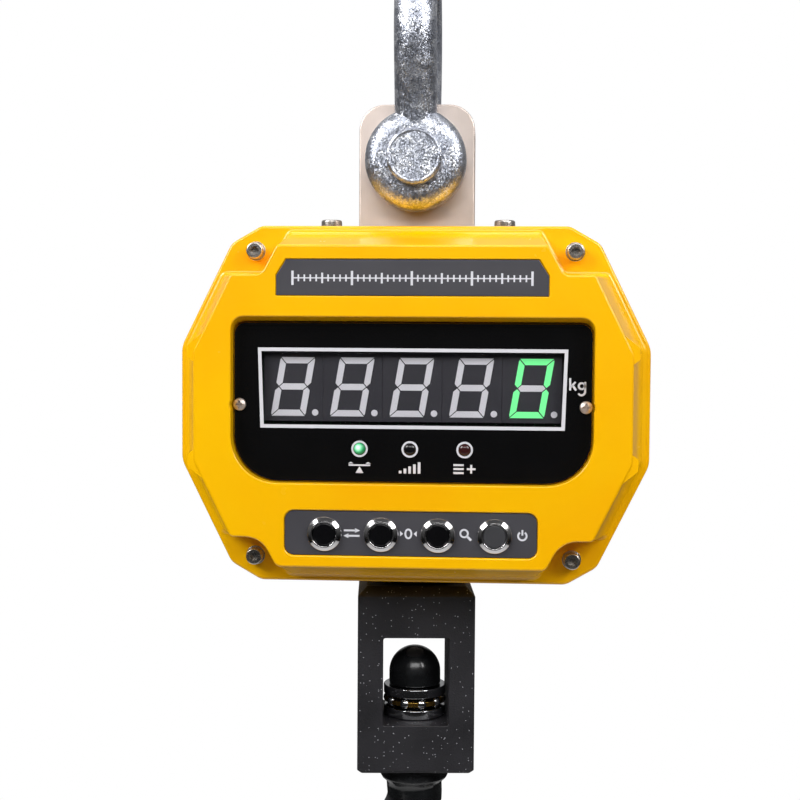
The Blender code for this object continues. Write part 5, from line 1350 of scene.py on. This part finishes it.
def makeLatch():
    ahead = Vector((math.sin(latch["lean"]), 0, -math.cos(latch["lean"])))
    side = Vector((math.cos(latch["lean"]), 0, math.sin(latch["lean"])))

    def sheetRing(along, half, low, high, r=0.0004):
        corners = [(low, -half, r), (high, -half, r), (high, half, r), (low, half, r)]
        return [latchPivot + ahead * along + side * p.x + Vector((0, p.y, 0)) for p in arcPath(corners, 3)]

    tongue = loft([sheetRing(0.0075, 0.0074, 0.0022, 0.0034), sheetRing(0.0082, 0.0076, 0.0020, 0.0036),
                   sheetRing(0.020, 0.0074, 0.0020, 0.0036), sheetRing(0.034, 0.0062, 0.0020, 0.0036),
                   sheetRing(latch["length"] - 0.002, 0.0052, 0.0020, 0.0036),
                   sheetRing(latch["length"], 0.0040, 0.0022, 0.0034)])
    cheeks = []
    for turn in (-1, 1):
        inner, outer = sorted(turn * y for y in latch["cheek"])
        r = latch["ear"]
        cheeks.append(lathe([(0, inner, 0), (r, inner, 0.0003), (r, outer, 0.0003), (0, outer, 0)], 40, latchPivot))
        arm, (near, far) = [], sorted(turn * y for y in latch["arm"])  # a little thinner than its round end
        for along, low, high in ((0.0, -0.0040, 0.0042), (0.008, -0.0034, 0.0037), (0.016, -0.0010, 0.0034),
                                 (0.021, 0.0024, 0.0032)):
            arm.append([latchPivot + ahead * along + side * s + Vector((0, y, 0))
                        for s, y in ((low, near), (high, near), (high, far), (low, far))])
        cheeks.append(loft(arm))
    body = join(tongue, *cheeks)
    hole = bar(latch["hole"], -0.02, 0.02, 24, latchPivot)
    piece("safetyLatch", cut(body, hole), zincPlate, "latch", ["latch"], "zinc_plate")
    half, head, r = latch["pinHalf"], latch["pinHead"], latch["pinShaft"]
    neck = half - 0.0013
    pin = [(0, -half, 0), (head, -half, 0.0008), (head, -neck, 0.0002), (r, -neck, 0), (r, neck, 0),
           (head, neck, 0.0002), (head, half, 0.0008), (0, half, 0)]
    piece("latchPin", lathe(pin, 32, latchPivot), zincPlate, "hook", ["latch_pin"], "zinc_plate")
    wire = []
    for k in range(91):
        t = math.tau * latch["coilTurns"] * k / 90
        out = Vector((math.cos(t), 0, math.sin(t)))
        centre = latchPivot + out * latch["coil"] + Vector((0, 0.0033 + 0.0021 * k / 90, 0))
        wire.append([centre + (out * math.cos(a) + Vector((0, 1, 0)) * math.sin(a)) * latch["wire"]
                     for a in (math.tau * j / 10 for j in range(10))])
    piece("latchSpring", loft(wire), bearingSteel, "hook", ["latch_spring"], "bearing_steel")


makeBlock()
makeBearing()
makeHook()
makeLatch()
print("block and hook ready")


# hidden pieces keep their CAD shape and only get a finish
inner = {"case_gasket": rubber, "cell_bracket": zincPlate, "gauge_cover": stainless, "display_board": board,
         "main_board": board, "battery": batteryCase}
for name, material in inner.items():
    mesh = frame["nodes"][name].data
    for i in range(max(1, len(mesh.materials))):
        if i < len(mesh.materials):
            mesh.materials[i] = material
        else:
            mesh.materials.append(material)


studio = {"floorDrop": 1.1, "floorHalf": 1.8, "floorGlow": 0.08, "floorPale": 0.45,
          "camera": (0.0370, -0.738, caseZ + 0.0374), "aim": (-0.0055, -0.058, caseZ + 0.0039), "lens": 61.2,
          "roll": 0.37, "boxes": {"leftBox": ((-0.95, -0.70, 0.75), (0.62, 0.62), 15.5),
                                  "rightBox": ((0.95, -0.70, 0.72), (0.55, 0.62), 11.5),
                                  "topBox": ((0.0, 0.10, 1.25), (0.9, 0.5), 5),
                                  "frontBox": ((0.10, -1.35, 0.85), (1.1, 0.5), 8.2)}}


def softbox(name, place, size, power):
    light = bpy.data.lights.new(name, "AREA")
    light.shape = "RECTANGLE"
    light.size, light.size_y = size
    light.energy = power
    thing = bpy.data.objects.new(name, light)
    thing.location = at(*place)
    thing.rotation_euler = (at(0, 0, 0) - at(*place)).to_track_quat("-Z", "Y").to_euler()
    bpy.context.scene.collection.objects.link(thing)


def makeStudio():
    for name, (place, size, power) in studio["boxes"].items():
        softbox(name, place, size, power)
    floorMesh = bpy.data.meshes.new("floor")
    z = cadLow.z - studio["floorDrop"]
    far = studio["floorHalf"]
    floorMesh.from_pydata([(-far, -far, z), (far, -far, z), (far, far, z), (-far, far, z)], [], [(0, 1, 2, 3)])
    floorThing = bpy.data.objects.new("floor", floorMesh)
    bpy.context.scene.collection.objects.link(floorThing)
    paper = mouldedMaterial("palePaper", "#F6F6F6", 0.8, 2.0, 0.02, fade=0.99, emission="#FFFFFF",
                            glow=studio["floorGlow"])
    tree = paper.node_tree
    eye = add(tree, "ShaderNodeLightPath")  # pale to look at, while it throws little light up at the object
    lift = add(tree, "ShaderNodeMath", {0: eye.outputs["Is Camera Ray"], 1: studio["floorPale"],
                                        2: studio["floorGlow"]}, operation="MULTIPLY_ADD")
    tree.links.new(lift.outputs["Value"], tree.nodes["Principled BSDF"].inputs["Emission Strength"])
    floorMesh.materials.append(paper)
    world = bpy.data.worlds.new("studio")
    bpy.context.scene.world = world
    world.use_nodes = True
    tree = world.node_tree
    tree.nodes.clear()
    way = add(tree, "ShaderNodeTexCoord")
    parts = add(tree, "ShaderNodeSeparateXYZ", {"Vector": way.outputs["Generated"]})
    light = add(tree, "ShaderNodeMapRange", {"Value": parts.outputs["Y"], "From Min": -0.3, "From Max": 0.9,
                                             "To Min": 0.08, "To Max": 0.34})
    up = add(tree, "ShaderNodeMapRange", {"Value": parts.outputs["Z"], "From Min": -0.35, "From Max": 0.25,
                                          "To Min": 0.05, "To Max": 1.0})
    room = add(tree, "ShaderNodeMath", {0: light.outputs["Result"], 1: up.outputs["Result"]}, operation="MULTIPLY")
    seen = add(tree, "ShaderNodeLightPath")  # the paper sweep behind is white to look at but gives little light
    level = add(tree, "ShaderNodeMix", {0: seen.outputs["Is Camera Ray"], 2: room.outputs["Value"], 3: 1.0})
    glow = add(tree, "ShaderNodeBackground", {"Color": (1, 1, 1, 1), "Strength": level.outputs[0]})
    add(tree, "ShaderNodeOutputWorld", {"Surface": glow.outputs["Background"]})
    bpy.context.scene.view_settings.view_transform = "Standard"


def makeCamera():
    data = bpy.data.cameras.new("camera")
    data.lens = studio["lens"]
    data.sensor_width = 36
    data.clip_start = 0.02
    camera = bpy.data.objects.new("camera", data)
    camera.location = studio["camera"]
    look = (Vector(studio["aim"]) - Vector(studio["camera"])).to_track_quat("-Z", "Y")
    camera.rotation_euler = (look.to_matrix() @ Matrix.Rotation(math.radians(studio["roll"]), 3, "Z")).to_euler()
    bpy.context.scene.collection.objects.link(camera)
    bpy.context.scene.camera = camera


makeStudio()
makeCamera()
print("studio ready")
